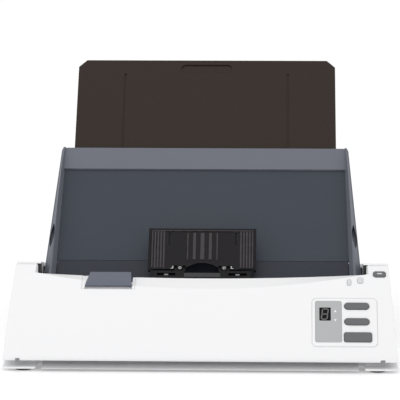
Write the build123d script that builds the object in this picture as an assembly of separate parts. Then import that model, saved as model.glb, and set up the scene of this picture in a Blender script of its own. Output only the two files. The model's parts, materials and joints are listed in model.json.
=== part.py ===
from build123d import *
from math import acos, atan2, ceil, cos, degrees, floor, hypot, pi, radians, sin, sqrt, tan
import os

# Sheet-feed document scanner. Millimetres, +Z up, front towards -Y.
# While it is modelled, y = 0 is the front bottom edge of the cover and z = 0 the desk.
# PATH is the feed path: local x is the width, local y (called s) climbs the path towards the tray,
# local z (called n) stands square to it, towards the front cover.

# Overall sizes
WIDTH = 315.0
SIDE_SLOPE = 0.085
REAR_Y = 96.0
REAR_SHOULDER_Z = 72.4
BASE_Z = 2.0
SPLIT_Z = 12.0
WALL = 2.2
CLEARANCE = 0.3
RUNNING = 0.05
PATH_ANGLE = 50.0
PATH_Y = 23.0
PATH_Z = 3.0

# Front cover
COVER_BOTTOM_Z = 8.5
COVER_BACK_N = 0.8
FACE_BOTTOM_S = -9.6
FACE_BOTTOM_N = 20.0
FACE_MID_S = 28.0
FACE_MID_N = 21.6
FACE_TOP_S = 67.3
FACE_TOP_N = 20.9
EAR_BACK_Y = 66.3
EAR_BACK_Z = 78.3
EAR_INNER_X = 133.5
EAR_FLARE_X = 136.5
LIP_SPAN_X = 127.0
LIP_BACK_N = 13.9
LIP_BACK_MID_S = 70.5
LIP_BACK_END_S = 74.3
LIP_FRONT_N = 21.5
LIP_FRONT_MID_S = 56.6
LIP_FRONT_END_S = 69.4
EDGE_ROUND = 3.0

# Cover hinge
HINGE_S = 5.0
HINGE_N = 16.5
HINGE_PIN_R = 1.25
HINGE_BOSS_R = 2.2
HINGE_ARM_X = 143.5
HINGE_ARM_WIDTH = 3.0

# Control panel
BEZEL_X = 115.0
BEZEL_S = 27.3
BEZEL_W = 52.0
BEZEL_H = 43.2
BEZEL_N = 22.0
BEZEL_SKIN = 2.0
BEZEL_DEPTH = 4.5
PLATE_X = 102.1
PLATE_S = 27.6
PLATE_W = 21.0
PLATE_H = 37.0
WINDOW_X = 99.4
WINDOW_S = 34.3
WINDOW_W = 9.1
WINDOW_H = 11.8
BUTTON_TRAVEL = 0.8
BUTTON_PROUD = 1.0
BUTTON_GAP = 0.25
PILL_X = 124.7
PILL_W = 19.9
PILL_H = 6.0
PILL_UPPER_S = 41.5
PILL_LOWER_S = 27.5
START_X = 125.4
START_S = 13.6
START_W = 22.0
START_H = 8.5
BOARD_N = 12.2
BOARD_T = 1.2
SWITCH_H = 1.5
POWER_X = 143.6
POWER_W = 10.0
POWER_H = 6.4
POWER_FROM_EDGE = 4.9
POWER_TRAVEL = 0.6
LED_SMALL_X = 119.0
LED_SMALL_S = 63.6
LED_SMALL_W = 3.2
LED_LARGE_X = 128.0
LED_LARGE_S = 65.6
LED_LARGE_W = 4.4
LED_H = 5.5

# Feed path plates
LINER_HALF = 125.0
LINER_N = 1.2
LINER_T = 2.0
LINER_TOP_S = 67.0
LINER_BOTTOM_S = 8.5
PLATE_HALF = 126.0
ROOM_HALF = 131.0
ROOM_N = -6.0
PLATE_N = -0.5
PLATE_T = 2.3
DECK_N = -3.5
DECK_START_S = 76.0
DECK_END_S = 96.4
EXIT_Y = 6.0
EXIT_Z = 2.9
RIB_PROUD = 0.4
RIB_W = 1.6

# Rollers
TYRE_PROUD = 0.3
FEED_S = 58.0
FEED_R = 10.5
FEED_HUB_R = 7.0
FEED_HALF = 21.0
DRIVE_S = 38.0
EXIT_S = 14.0
SMALL_TYRE_R = 5.5
SHAFT_R = 3.0
TYRE_W = 14.0
TYRE_XS = (-84.0, -42.0, 42.0, 84.0)
PINCH_R = 4.0
PINCH_AXLE_R = 1.2
PINCH_GAP = 0.15
BUSH_R = 4.0
FRAME_X = 127.2
FRAME_T = 1.6

# Gear train, all with module in mm
MODULE = 0.8
FINE_MODULE = 0.6
FEED_TEETH = 24
DRIVE_TEETH = 12
EXIT_TEETH = 12
UPPER_IDLER_TEETH = 12
LOWER_IDLER_TEETH = 20
COMPOUND_SMALL_TEETH = 14
COMPOUND_LARGE_TEETH = 48
PINION_TEETH = 12
GEAR_W = 5.0
FINE_GEAR_W = 4.0
GEAR_X = -130.2
FINE_GEAR_X = -136.2
BACKLASH = 0.22
STUD_R = 1.5
COMPOUND_ANGLE = -60.0
PINION_ANGLE = -138.0
MOTOR_R = 10.5
MOTOR_L = 36.0
MOTOR_SHAFT_R = 1.0

# Image sensors
SENSOR_S = 26.0
SENSOR_W = 10.5
SENSOR_D = 10.0
SENSOR_HALF = 111.0
GLASS_W = 8.0
GLASS_T = 1.2
GLASS_SET_BACK = 0.3

# Separation pad and guide flap
PAD_HALF = 20.0
PAD_FROM_S = 54.0
PAD_TO_S = 63.0
PAD_GAP = 0.25
PAD_PIVOT_S = 48.6
PAD_PIVOT_N = 4.2
PAD_PIN_R = 1.0
HOLDER_TOP_N = 5.2
FLAP_HALF = 44.0
FLAP_BOTTOM_S = 79.6
FLAP_TOP_S = 118.5
FLAP_N = 9.0
FLAP_T = 1.6
FLAP_PIVOT_S = 81.4
FLAP_PIVOT_N = 7.4
FLAP_PIN_X = 18.0
NECK_HALF = 40.0

# Release latch
LATCH_FROM_X = -93.8
LATCH_TO_X = -56.0
LATCH_SLANT = 4.0
LATCH_PIVOT_S = 64.0
LATCH_PIVOT_N = 9.0
LATCH_SHAFT_R = 2.0
LATCH_FRONT_S = 59.0
LATCH_FRONT_N = 22.5
LATCH_BACK_S = 74.6
LATCH_BACK_N = 16.6
LATCH_T = 2.4
HOOK_X = 122.4
HOOK_W = 3.0
HOOK_REACH_N = -6.0
CATCH_R = 1.5
CATCH_S = 59.2
CATCH_N = -3.6

# Feed tray and its extension
TRAY_BOTTOM_S = 97.0
TRAY_LEG_S = 76.3
TRAY_TOP_S = 206.0
TRAY_BOTTOM_HALF = 130.4
TRAY_TOP_HALF = 120.6
TRAY_FLOOR_N = -4.0
TRAY_FLOOR_T = 2.2
TRAY_WALL_N = 5.0
TRAY_INNER_BOTTOM_HALF = 120.0
TRAY_INNER_TOP_HALF = 117.6
TRAY_BAND_S = 184.3
TRAY_BAND_RISE = 1.6
TRAY_CORNER_R = 5.0
TRAY_LIFT = 30.0
TRAY_RAIL_HALF = 111.1
TRAY_RAIL_W = 2.6
TRAY_RIDGE_IN = 5.0
TRAY_BACK_T = 2.0
SCOOP_FROM_S = 105.6
SCOOP_TO_S = 128.4
SCOOP_W = 4.2
EXTENSION_HALF = 110.7
EXTENSION_TOP_S = 297.0
EXTENSION_HELD = 16.0
EXTENSION_T = 2.4
EXTENSION_CORNER = 7.0

# Rear board and sockets
MAIN_BOARD_Y = 85.0
USB_X = 40.0
USB_W = 12.0
USB_H = 10.8
POWER_SOCKET_X = 75.0
POWER_SOCKET_W = 9.4
POWER_SOCKET_H = 11.0
SOCKET_Z = 22.0
FOOT_R = 7.0
FOOT_X = 141.0
FOOT_FRONT_Y = 17.0
FOOT_REAR_Y = 86.0

PATH = Plane(
    origin=(0, PATH_Y, PATH_Z),
    x_dir=(1, 0, 0),
    z_dir=(0, -sin(radians(PATH_ANGLE)), cos(radians(PATH_ANGLE))),
)
NODES = {}


def half_width(z):
    return WIDTH / 2 - SIDE_SLOPE * z


def at(s, n):
    """The (y, z) of a point on the feed path's side view."""
    a = radians(PATH_ANGLE)
    return (PATH_Y + s * cos(a) - n * sin(a), PATH_Z + s * sin(a) + n * cos(a))


def side_face(points):
    return make_face(Polyline(*points, close=True))


def side_prism(shape, x0, x1):
    """Extrude a (y, z) face, or a list of its points, from x0 to x1."""
    face = shape if isinstance(shape, (Face, Sketch)) else side_face(shape)
    return extrude(Plane.YZ.offset(x0) * face, x1 - x0)


def path_prism(points, x0, x1):
    """Extrude a face given by (s, n) points from x0 to x1."""
    return side_prism([at(s, n) for s, n in points], x0, x1)


def path_box(x0, x1, s0, s1, n0, n1):
    return PATH * Pos((x0 + x1) / 2, (s0 + s1) / 2, (n0 + n1) / 2) * Box(x1 - x0, s1 - s0, n1 - n0)


def path_pill(x, s, w, h, r, n0, n1):
    """A rounded rectangle on the feed path, extruded square to it."""
    return extrude(PATH.offset(n0) * Pos(x, s) * RectangleRounded(w, h, r), n1 - n0)


def box(x0, x1, y0, y1, z0, z1):
    return Pos((x0 + x1) / 2, (y0 + y1) / 2, (z0 + z1) / 2) * Box(x1 - x0, y1 - y0, z1 - z0)


def rod(y, z, r, x0, x1):
    """A round bar along X."""
    return extrude(Plane((x0, y, z), x_dir=(0, 1, 0), z_dir=(1, 0, 0)) * Circle(r), x1 - x0)


def tube(y, z, r, bore, x0, x1):
    return rod(y, z, r, x0, x1) - rod(y, z, bore, x0 - 1, x1 + 1)


def both_sides(shape):
    return Part() + [shape, mirror(shape, about=Plane.YZ)]


def flare(inset):
    """The housing's width: it narrows evenly towards the top."""
    low, high = -5.0, 95.0
    outline = Polyline(
        (-half_width(low) + inset, low),
        (half_width(low) - inset, low),
        (half_width(high) - inset, high),
        (-half_width(high) + inset, high),
        close=True,
    )
    return extrude(Plane.XZ * make_face(outline), 2 * REAR_Y, both=True)


def rounded(face, corners, radius):
    """Fillet the face's corners that lie nearest to the given points."""
    picked = [face.vertices().sort_by_distance(Vector(y, z, 0))[0] for y, z in corners]
    return fillet(picked, radius)


# Front cover

def cover_outline():
    face_bottom = at(FACE_BOTTOM_S, FACE_BOTTOM_N)
    face_top = at(FACE_TOP_S, FACE_TOP_N)
    ear_back = (EAR_BACK_Y, EAR_BACK_Z)
    seam_top = (EAR_BACK_Y, at(s_at_y(EAR_BACK_Y, COVER_BACK_N), COVER_BACK_N)[1])
    seam_bottom = at(s_at_z(COVER_BOTTOM_Z, COVER_BACK_N), COVER_BACK_N)
    outline = [
        ThreePointArc(face_bottom, at(FACE_MID_S, FACE_MID_N), face_top),
        Polyline(face_top, ear_back, seam_top, seam_bottom, face_bottom),
    ]
    face = make_face(outline)
    face = rounded(face, [face_bottom], 3.6)
    return rounded(face, [face_top, ear_back], 3.0)


def s_at_y(y, n):
    a = radians(PATH_ANGLE)
    return (y - PATH_Y + n * sin(a)) / cos(a)


def s_at_z(z, n):
    a = radians(PATH_ANGLE)
    return (z - PATH_Z - n * cos(a)) / sin(a)


def lip_arc_s(x, mid, end):
    """Height along the path of the lip's arc at x."""
    sag = end - mid
    radius = (LIP_SPAN_X ** 2 + sag ** 2) / (2 * sag)
    return mid + radius - sqrt(radius ** 2 - x ** 2)


def lip_face(n, half):
    """What lies behind the lip's arc at height n over the path."""
    share = (n - LIP_BACK_N) / (LIP_FRONT_N - LIP_BACK_N)
    mid = LIP_BACK_MID_S + share * (LIP_FRONT_MID_S - LIP_BACK_MID_S)
    end = LIP_BACK_END_S + share * (LIP_FRONT_END_S - LIP_BACK_END_S)
    edge = lip_arc_s(half, mid, end)
    far = LIP_BACK_END_S + 60
    arc = ThreePointArc((-half, edge), (0, mid), (half, edge))
    rest = Polyline((half, edge), (half, far), (-half, far), (-half, edge))
    return PATH.offset(n) * make_face([arc, rest])


def lip_cut(margin):
    """The space between the ears, behind the lip, grown by a margin of wall."""
    top_n = LIP_FRONT_N + 4.5
    band = loft([lip_face(LIP_BACK_N, EAR_INNER_X + margin), lip_face(top_n, EAR_FLARE_X + margin)], ruled=True)
    well = extrude(lip_face(LIP_BACK_N, EAR_INNER_X + margin), -30)
    return band + well


def latch_pocket():
    return path_box(LATCH_FROM_X - 2.5, LATCH_TO_X + 2.5, LATCH_FRONT_S - 2.7, LATCH_BACK_S + 20, 5.5, 40)


def ear_top():
    """The plane of the ears' sloping top, its origin on the front edge."""
    y, z = at(FACE_TOP_S, FACE_TOP_N)
    slope = atan2(EAR_BACK_Z - z, EAR_BACK_Y - y)
    return Plane(origin=(0, y, z), x_dir=(1, 0, 0), z_dir=(0, -sin(slope), cos(slope)))


def power_pill(grow, z0, z1):
    outline = Pos(POWER_X, POWER_FROM_EDGE) * RectangleRounded(POWER_W + 2 * grow, POWER_H + 2 * grow, 2.0 + grow)
    return extrude(ear_top().offset(z0) * outline, z1 - z0)


def led_shapes(grow, n0, n1):
    small = path_pill(LED_SMALL_X, LED_SMALL_S, LED_SMALL_W + 2 * grow, LED_H + 2 * grow, 1.0, n0, n1)
    large = path_pill(LED_LARGE_X, LED_LARGE_S, LED_LARGE_W + 2 * grow, LED_H + 2 * grow, 1.2, n0, n1)
    return Part() + [small, large]


def cover_shell():
    outline = cover_outline()
    body = side_prism(outline, -WIDTH, WIDTH) & flare(0)
    body -= lip_cut(0)
    inner = offset(outline, amount=-WALL, kind=Kind.INTERSECTION)
    cavity = side_prism(inner, -WIDTH, WIDTH) & flare(WALL)
    cavity -= PATH.location * Pos(0, -2.4, -1.4) * PATH.location.inverse() * lip_cut(WALL)
    body -= cavity
    body -= path_box(-LINER_HALF - 0.4, LINER_HALF + 0.4, s_at_z(COVER_BOTTOM_Z + WALL, 0) - 2, LINER_TOP_S + 0.3, -2, 6)
    body -= latch_pocket()
    body -= path_pill(BEZEL_X, BEZEL_S, BEZEL_W + 0.2, BEZEL_H + 0.2, 4.1, 17, 30)
    body -= led_shapes(0.1, 16, 30)
    body -= power_pill(BUTTON_GAP, -6, 5)
    hinge_y, hinge_z = at(HINGE_S, HINGE_N)
    slot_x0 = HINGE_ARM_X - CLEARANCE
    slot_x1 = HINGE_ARM_X + HINGE_ARM_WIDTH + CLEARANCE
    slot = box(slot_x0, slot_x1, 3.8, 40, 0, COVER_BOTTOM_Z + WALL + 0.5)
    slot += path_box(slot_x0, slot_x1, -6, 20, -4, 6)
    body -= both_sides(slot)
    outer = rod(hinge_y, hinge_z, HINGE_BOSS_R, slot_x1, half_width(hinge_z) - WALL + 0.5)
    inner_boss = rod(hinge_y, hinge_z, HINGE_BOSS_R, slot_x0 - 3, slot_x0)
    web = path_prism(
        [(HINGE_S - 1.2, HINGE_N), (HINGE_S + 1.2, HINGE_N), (HINGE_S + 1.2, 20), (HINGE_S - 1.2, 20)],
        slot_x0 - 3,
        slot_x0,
    )
    web_outer = path_prism(
        [(HINGE_S - 1.2, HINGE_N), (HINGE_S + 1.2, HINGE_N), (HINGE_S + 1.2, 20), (HINGE_S - 1.2, 20)],
        slot_x1,
        half_width(hinge_z) - WALL + 0.5,
    )
    body += both_sides(outer + inner_boss + web + web_outer)
    body -= both_sides(rod(hinge_y, hinge_z, HINGE_PIN_R + RUNNING, slot_x0 - 4, WIDTH))
    shelf = ear_top() * Pos(POWER_X, POWER_FROM_EDGE, -9.6) * Box(2 * (POWER_X - EAR_INNER_X - WALL) + 1, 8, 1.6)
    body += shelf & flare(WALL / 2)
    return body


def panel_bezel():
    plate = path_pill(BEZEL_X, BEZEL_S, BEZEL_W, BEZEL_H, 4.0, BEZEL_N - BEZEL_DEPTH, BEZEL_N)
    plate = fillet(plate.faces().sort_by(Axis(PATH.origin, PATH.z_dir))[-1].edges(), 0.8)
    floor_n = BEZEL_N - BEZEL_SKIN
    plate -= path_pill(
        BEZEL_X, BEZEL_S, BEZEL_W - 2.6, BEZEL_H - 2.6, 3.0, BEZEL_N - BEZEL_DEPTH - 1, floor_n
    )
    plate -= path_pill(PLATE_X, PLATE_S, PLATE_W + 0.2, PLATE_H + 0.2, 1.6, floor_n - 1, BEZEL_N + 1)
    for x, s, w, h, r in button_outlines():
        plate -= path_pill(x, s, w + 2 * BUTTON_GAP, h + 2 * BUTTON_GAP, r + BUTTON_GAP, floor_n - 1, BEZEL_N + 1)
    for x in (BEZEL_X - BEZEL_W / 2 + 1.2, BEZEL_X + BEZEL_W / 2 - 1.2):
        for s in (BEZEL_S - 14, BEZEL_S + 14):
            plate += path_box(x - 1.2, x + 1.2, s - 2, s + 2, BOARD_N + BOARD_T, floor_n)
    return plate


def button_outlines():
    return [
        (PILL_X, PILL_UPPER_S, PILL_W, PILL_H, PILL_H / 2 - 0.05),
        (PILL_X, PILL_LOWER_S, PILL_W, PILL_H, PILL_H / 2 - 0.05),
        (START_X, START_S, START_W, START_H, 1.6),
    ]


def panel_button(x, s, w, h, r):
    """A cap in the bezel, a wider flange under it and a stem down to its switch."""
    flange_n = BEZEL_N - BEZEL_SKIN - 1.8
    cap = path_pill(x, s, w, h, r, flange_n, BEZEL_N + BUTTON_PROUD)
    cap = fillet(cap.faces().sort_by(Axis(PATH.origin, PATH.z_dir))[-1].edges(), 0.5)
    flange = path_pill(x, s, w + 1.6, h + 1.6, r + 0.8, flange_n, flange_n + 0.8)
    stem = extrude(PATH.offset(BOARD_N + BOARD_T + SWITCH_H + BUTTON_TRAVEL + 0.1) * Pos(x, s) * Circle(1.3), flange_n - BOARD_N - BOARD_T - SWITCH_H - BUTTON_TRAVEL - 0.1)
    return cap + flange + stem


def display_plate():
    plate = path_pill(PLATE_X, PLATE_S, PLATE_W, PLATE_H, 1.5, BEZEL_N - BEZEL_SKIN - 0.8, BEZEL_N + 0.1)
    return plate - path_pill(WINDOW_X, WINDOW_S, WINDOW_W + 0.1, WINDOW_H + 0.1, 0.6, 15, 30)


def display_window():
    return path_pill(WINDOW_X, WINDOW_S, WINDOW_W, WINDOW_H, 0.55, BEZEL_N - BEZEL_SKIN - 0.8, BEZEL_N)


def control_board():
    half = BEZEL_W / 2 - 0.2
    board = path_box(BEZEL_X - half, BEZEL_X + half, BEZEL_S - 18, BEZEL_S + 18, BOARD_N, BOARD_N + BOARD_T)
    top = BOARD_N + BOARD_T
    for x, s, w, h, r in button_outlines():
        board += path_box(x - 3, x + 3, s - 3, s + 3, top, top + SWITCH_H - 0.7)
        board += extrude(PATH.offset(top) * Pos(x, s) * Circle(1.6), SWITCH_H)
    board += path_box(WINDOW_X - 4.5, WINDOW_X + 4.5, WINDOW_S - 5.5, WINDOW_S + 5.5, top, BEZEL_N - BEZEL_SKIN - 1.0)
    return board


def power_button():
    cap = power_pill(0, -3.2, 0.8)
    cap = fillet(cap.faces().sort_by(Axis(ear_top().origin, ear_top().z_dir))[-1].edges(), 0.4)
    return cap + power_pill(0.7, -4.0, -3.2)


def power_switch():
    base = ear_top() * Pos(POWER_X, POWER_FROM_EDGE, -7.4) * Box(7, 6, 2.8)
    knob = ear_top() * Pos(POWER_X, POWER_FROM_EDGE, -5.4) * Cylinder(1.6, 1.2)
    return base + knob


def liner():
    """The cover's inner guide plate, with ribs, windows and the pads' bearings."""
    plate = path_prism(
        [(LINER_BOTTOM_S, LINER_N), (LINER_TOP_S, LINER_N), (LINER_TOP_S, LINER_N + LINER_T), (LINER_BOTTOM_S, LINER_N + LINER_T)],
        -LINER_HALF,
        LINER_HALF,
    )
    for x in rib_places():
        plate += path_box(x - RIB_W / 2, x + RIB_W / 2, LINER_BOTTOM_S, LINER_TOP_S, LINER_N - RIB_PROUD, LINER_N)
    plate -= path_box(-SENSOR_HALF - 0.3, SENSOR_HALF + 0.3, SENSOR_S - SENSOR_W / 2 - 0.3, SENSOR_S + SENSOR_W / 2 + 0.3, -2, 8)
    plate -= path_box(-PAD_HALF - 2.4, PAD_HALF + 2.4, PAD_PIVOT_S - 3, LINER_TOP_S - 1.2, -2, 8)
    plate -= both_sides(path_box(HOOK_X - 2.2, HOOK_X + 2.2, 57.5, LINER_TOP_S + 1, -2, 8))
    for s in (DRIVE_S, EXIT_S):
        for x in TYRE_XS:
            plate -= path_box(x - TYRE_W / 2 - 1, x + TYRE_W / 2 + 1, s - PINCH_R - 0.8, s + PINCH_R + 0.8, -2, 8)
        plate += pinch_bearings(s)
    pin_y, pin_z = at(PAD_PIVOT_S, PAD_PIVOT_N)
    ear = path_box(PAD_HALF + 1.2, PAD_HALF + 4.0, PAD_PIVOT_S - 2.4, PAD_PIVOT_S + 2.4, LINER_N, PAD_PIVOT_N + 2.2)
    plate += both_sides(ear)
    plate -= rod(pin_y, pin_z, PAD_PIN_R + RUNNING, -PAD_HALF - 6, PAD_HALF + 6)
    return plate + shaft_bearings()


def rib_places():
    places = []
    for k in range(-8, 9):
        x = k * 14.0
        if abs(x) > PAD_HALF + 4 and all(abs(x - t) > TYRE_W / 2 + 1.9 for t in TYRE_XS):
            places.append(x)
    return places


def pinch_axis(s):
    return at(s, TYRE_PROUD + PINCH_GAP + PINCH_R)


def pinch_bearings(s):
    """Pairs of open saddles that carry the pinch rollers' axle."""
    y, z = pinch_axis(s)
    n_axis = TYRE_PROUD + PINCH_GAP + PINCH_R
    saddles = Part()
    for x in TYRE_XS:
        for side in (-1, 1):
            centre = x + side * (TYRE_W / 2 + 2.2)
            saddles += path_box(centre - 1, centre + 1, s - 2.6, s + 2.6, LINER_N + LINER_T / 2, n_axis + 2.4)
    return saddles - rod(y, z, PINCH_AXLE_R + RUNNING, -LINER_HALF, LINER_HALF)


def pinch_rollers(s):
    y, z = pinch_axis(s)
    reach = TYRE_XS[-1] + TYRE_W / 2 + 4.5
    rollers = rod(y, z, PINCH_AXLE_R, -reach, reach)
    for x in TYRE_XS:
        rollers += rod(y, z, PINCH_R, x - TYRE_W / 2 + 1, x + TYRE_W / 2 - 1)
    return rollers


def image_sensor(sign):
    """A contact image sensor: a channel-shaped bar with a glass seat in its face."""
    face_n = (PLATE_N if sign < 0 else LINER_N) + sign * GLASS_SET_BACK
    half = SENSOR_W / 2
    far = face_n + sign * SENSOR_D
    seat = face_n + sign * GLASS_T
    body = path_prism(
        [
            (SENSOR_S - half, face_n),
            (SENSOR_S - GLASS_W / 2 - 0.1, face_n),
            (SENSOR_S - GLASS_W / 2 - 0.1, seat),
            (SENSOR_S + GLASS_W / 2 + 0.1, seat),
            (SENSOR_S + GLASS_W / 2 + 0.1, face_n),
            (SENSOR_S + half, face_n),
            (SENSOR_S + half, far - sign * 2),
            (SENSOR_S + half - 2, far),
            (SENSOR_S - half, far),
        ],
        -SENSOR_HALF,
        SENSOR_HALF,
    )
    return body


def sensor_glass(sign):
    face_n = (PLATE_N if sign < 0 else LINER_N) + sign * GLASS_SET_BACK
    near, far = sorted((face_n, face_n + sign * GLASS_T))
    return path_box(-SENSOR_HALF + 2, SENSOR_HALF - 2, SENSOR_S - GLASS_W / 2, SENSOR_S + GLASS_W / 2, near, far)


def pad_holder():
    pin_y, pin_z = at(PAD_PIVOT_S, PAD_PIVOT_N)
    pad_n = TYRE_PROUD + PAD_GAP + 1.0
    plate = path_prism(
        [
            (PAD_PIVOT_S - 1, pad_n + 1.4),
            (PAD_FROM_S - 1, pad_n + 0.4),
            (PAD_FROM_S - 1, pad_n),
            (PAD_TO_S + 1, pad_n),
            (PAD_TO_S + 2.4, pad_n + 1.6),
            (PAD_TO_S + 2.4, pad_n + 2.4),
            (PAD_PIVOT_S - 1, pad_n + 3.0),
        ],
        -PAD_HALF,
        PAD_HALF,
    )
    for x in (-PAD_HALF + 1, -PAD_HALF / 3, PAD_HALF / 3, PAD_HALF - 1):
        plate += path_box(x - 0.8, x + 0.8, PAD_PIVOT_S, PAD_TO_S + 1, pad_n + 1.6, HOLDER_TOP_N)
    plate += rod(pin_y, pin_z, 1.8, -PAD_HALF, PAD_HALF)
    return plate + rod(pin_y, pin_z, PAD_PIN_R, -PAD_HALF - 3.6, PAD_HALF + 3.6)


def friction_pad():
    low = TYRE_PROUD + PAD_GAP
    return path_box(-PAD_HALF + 1, PAD_HALF - 1, PAD_FROM_S, PAD_TO_S, low, low + 1.0)


def flap_bracket():
    """The black frame behind the lip that carries the guide flap."""
    back_s = lip_arc_s(NECK_HALF, LIP_BACK_MID_S, LIP_BACK_END_S) + 0.02
    frame = path_prism(
        [(back_s, 5.6), (FLAP_BOTTOM_S - 2.6, 4.6), (FLAP_BOTTOM_S - 0.6, 6.0), (FLAP_BOTTOM_S - 0.6, 11.4), (back_s, 13.2)],
        -NECK_HALF,
        NECK_HALF,
    )
    frame -= path_box(-14.6, 14.6, back_s + 2.4, FLAP_BOTTOM_S + 1, 8.0, 20)
    frame -= path_box(-36.5, -21.5, back_s + 3, FLAP_BOTTOM_S - 3, 9.0, 20)
    frame -= path_box(21.5, 36.5, back_s + 3, FLAP_BOTTOM_S - 3, 9.0, 20)
    pin_y, pin_z = at(FLAP_PIVOT_S, FLAP_PIVOT_N)
    ear = path_prism(
        [
            (FLAP_BOTTOM_S - 1, 5.4),
            (FLAP_PIVOT_S + 1.6, 5.4),
            (FLAP_PIVOT_S + 2.4, FLAP_PIVOT_N),
            (FLAP_PIVOT_S + 1.2, 9.6),
            (FLAP_BOTTOM_S - 1, 10.6),
        ],
        FLAP_PIN_X - 4.4,
        FLAP_PIN_X - 2.4,
    )
    frame += both_sides(ear)
    far_ear = path_prism(
        [
            (FLAP_BOTTOM_S - 1, 5.4),
            (FLAP_PIVOT_S + 1.6, 5.4),
            (FLAP_PIVOT_S + 2.4, FLAP_PIVOT_N),
            (FLAP_PIVOT_S + 1.2, 9.6),
            (FLAP_BOTTOM_S - 1, 10.6),
        ],
        FLAP_PIN_X + 2.4,
        FLAP_PIN_X + 4.4,
    )
    frame += both_sides(far_ear)
    return frame - rod(pin_y, pin_z, 1.5 + RUNNING, -FLAP_HALF, FLAP_HALF)


def guide_flap():
    """The smoky leaf that holds the stack down, with ribs, slots and a hollowed lower edge."""
    low_n = FLAP_N
    leaf = path_box(-FLAP_HALF, FLAP_HALF, FLAP_BOTTOM_S + 1.4, FLAP_TOP_S, low_n, low_n + FLAP_T)
    corners = leaf.edges().filter_by(Axis(PATH.origin, PATH.z_dir)).sort_by(Axis(PATH.origin, PATH.y_dir))[-2:]
    leaf = fillet(corners, 1.5)
    bow = PATH.offset(low_n - 5) * Pos(0, FLAP_BOTTOM_S - 14.2) * Circle(21.5)
    leaf -= extrude(bow, 20) & path_box(-15, 15, FLAP_BOTTOM_S - 2, FLAP_TOP_S, 0, 20)
    for x in (27.2, -27.2):
        leaf -= path_pill(x, FLAP_TOP_S - 9.2, 2.2, 12.0, 1.05, 0, 20)
    rib_top = low_n + FLAP_T + 0.9
    for x, w in ((-12.0, 0.8), (-6.5, 2.2), (0.0, 3.0), (6.5, 2.2), (12.0, 0.8)):
        leaf += path_box(x - w / 2, x + w / 2, FLAP_BOTTOM_S + 10, FLAP_TOP_S - 4.0, low_n + FLAP_T, rib_top)
    for k in range(5):
        for side in (-1, 1):
            x = side * (31.5 + 2.4 * k)
            leaf += path_box(x - 0.6, x + 0.6, FLAP_BOTTOM_S + 2.4, FLAP_TOP_S - 1.5, low_n + FLAP_T, rib_top - 0.2)
    for side in (-1, 1):
        edge = side * (FLAP_HALF - 1.0)
        leaf += path_box(edge - 1.0, edge + 1.0, FLAP_BOTTOM_S, FLAP_TOP_S - 1.5, low_n - 1.2, rib_top + 0.4)
    leaf += path_box(-FLAP_HALF + 1.5, FLAP_HALF - 1.5, FLAP_TOP_S - 2.2, FLAP_TOP_S - 1.0, low_n + FLAP_T, rib_top)
    pin_y, pin_z = at(FLAP_PIVOT_S, FLAP_PIVOT_N)
    knuckle = rod(pin_y, pin_z, 2.2, FLAP_PIN_X - 2.1, FLAP_PIN_X + 2.1)
    knuckle += path_box(FLAP_PIN_X - 2.1, FLAP_PIN_X + 2.1, FLAP_PIVOT_S, FLAP_PIVOT_S + 3.6, FLAP_PIVOT_N, low_n + 0.5)
    leaf += both_sides(knuckle)
    for side in (-1, 1):
        low, high = sorted((side * (FLAP_PIN_X - 4.8), side * (FLAP_PIN_X - 2.05)))
        leaf -= path_box(low, high, FLAP_BOTTOM_S, FLAP_PIVOT_S + 3.0, 3, low_n + FLAP_T + 3)
        low, high = sorted((side * (FLAP_PIN_X + 2.05), side * (FLAP_PIN_X + 4.8)))
        leaf -= path_box(low, high, FLAP_BOTTOM_S, FLAP_PIVOT_S + 3.0, 3, low_n + FLAP_T + 3)
    pins = rod(pin_y, pin_z, 1.5, FLAP_PIN_X - 4.3, FLAP_PIN_X + 4.3)
    return leaf + both_sides(pins)


def release_latch():
    """The grey lever that wraps over the lip, on arms that reach the cross shaft."""
    slant = LATCH_SLANT
    slab = path_prism(
        [
            (LATCH_FRONT_S, LATCH_FRONT_N - LATCH_T),
            (LATCH_FRONT_S, LATCH_FRONT_N),
            (LATCH_FRONT_S + 3.0, LATCH_FRONT_N + 0.4),
            (LATCH_BACK_S, LATCH_BACK_N),
            (LATCH_BACK_S, LATCH_BACK_N - LATCH_T - 1.5),
            (LATCH_BACK_S - 2.6, LATCH_BACK_N - LATCH_T - 0.6),
            (LATCH_FRONT_S + 3.4, LATCH_FRONT_N - LATCH_T - 0.2),
        ],
        LATCH_FROM_X,
        LATCH_TO_X,
    )
    outline = Polyline(
        (LATCH_FROM_X + slant, LATCH_BACK_S + 2),
        (LATCH_FROM_X, LATCH_FRONT_S - 2),
        (LATCH_TO_X, LATCH_FRONT_S - 2),
        (LATCH_TO_X - slant / 3, LATCH_BACK_S + 2),
        close=True,
    )
    slab &= extrude(PATH * make_face(outline), 40)
    pivot_y, pivot_z = at(LATCH_PIVOT_S, LATCH_PIVOT_N)
    arms = Part()
    for x in (LATCH_FROM_X + 8, LATCH_TO_X - 8):
        arm = path_prism(
            [
                (LATCH_PIVOT_S - 2.4, LATCH_PIVOT_N),
                (LATCH_PIVOT_S + 2.4, LATCH_PIVOT_N),
                (LATCH_PIVOT_S + 5.0, LATCH_BACK_N + 0.4),
                (LATCH_PIVOT_S - 1.6, LATCH_FRONT_N - 3.0),
            ],
            x - 1.2,
            x + 1.2,
        )
        arms += arm + rod(pivot_y, pivot_z, LATCH_SHAFT_R + 1.4, x - 1.2, x + 1.2)
    return slab + arms - rod(pivot_y, pivot_z, LATCH_SHAFT_R, -WIDTH / 2, WIDTH / 2)


def latch_shaft():
    y, z = at(LATCH_PIVOT_S, LATCH_PIVOT_N)
    return rod(y, z, LATCH_SHAFT_R, -HOOK_X - 3.4, HOOK_X + 3.4)


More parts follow.
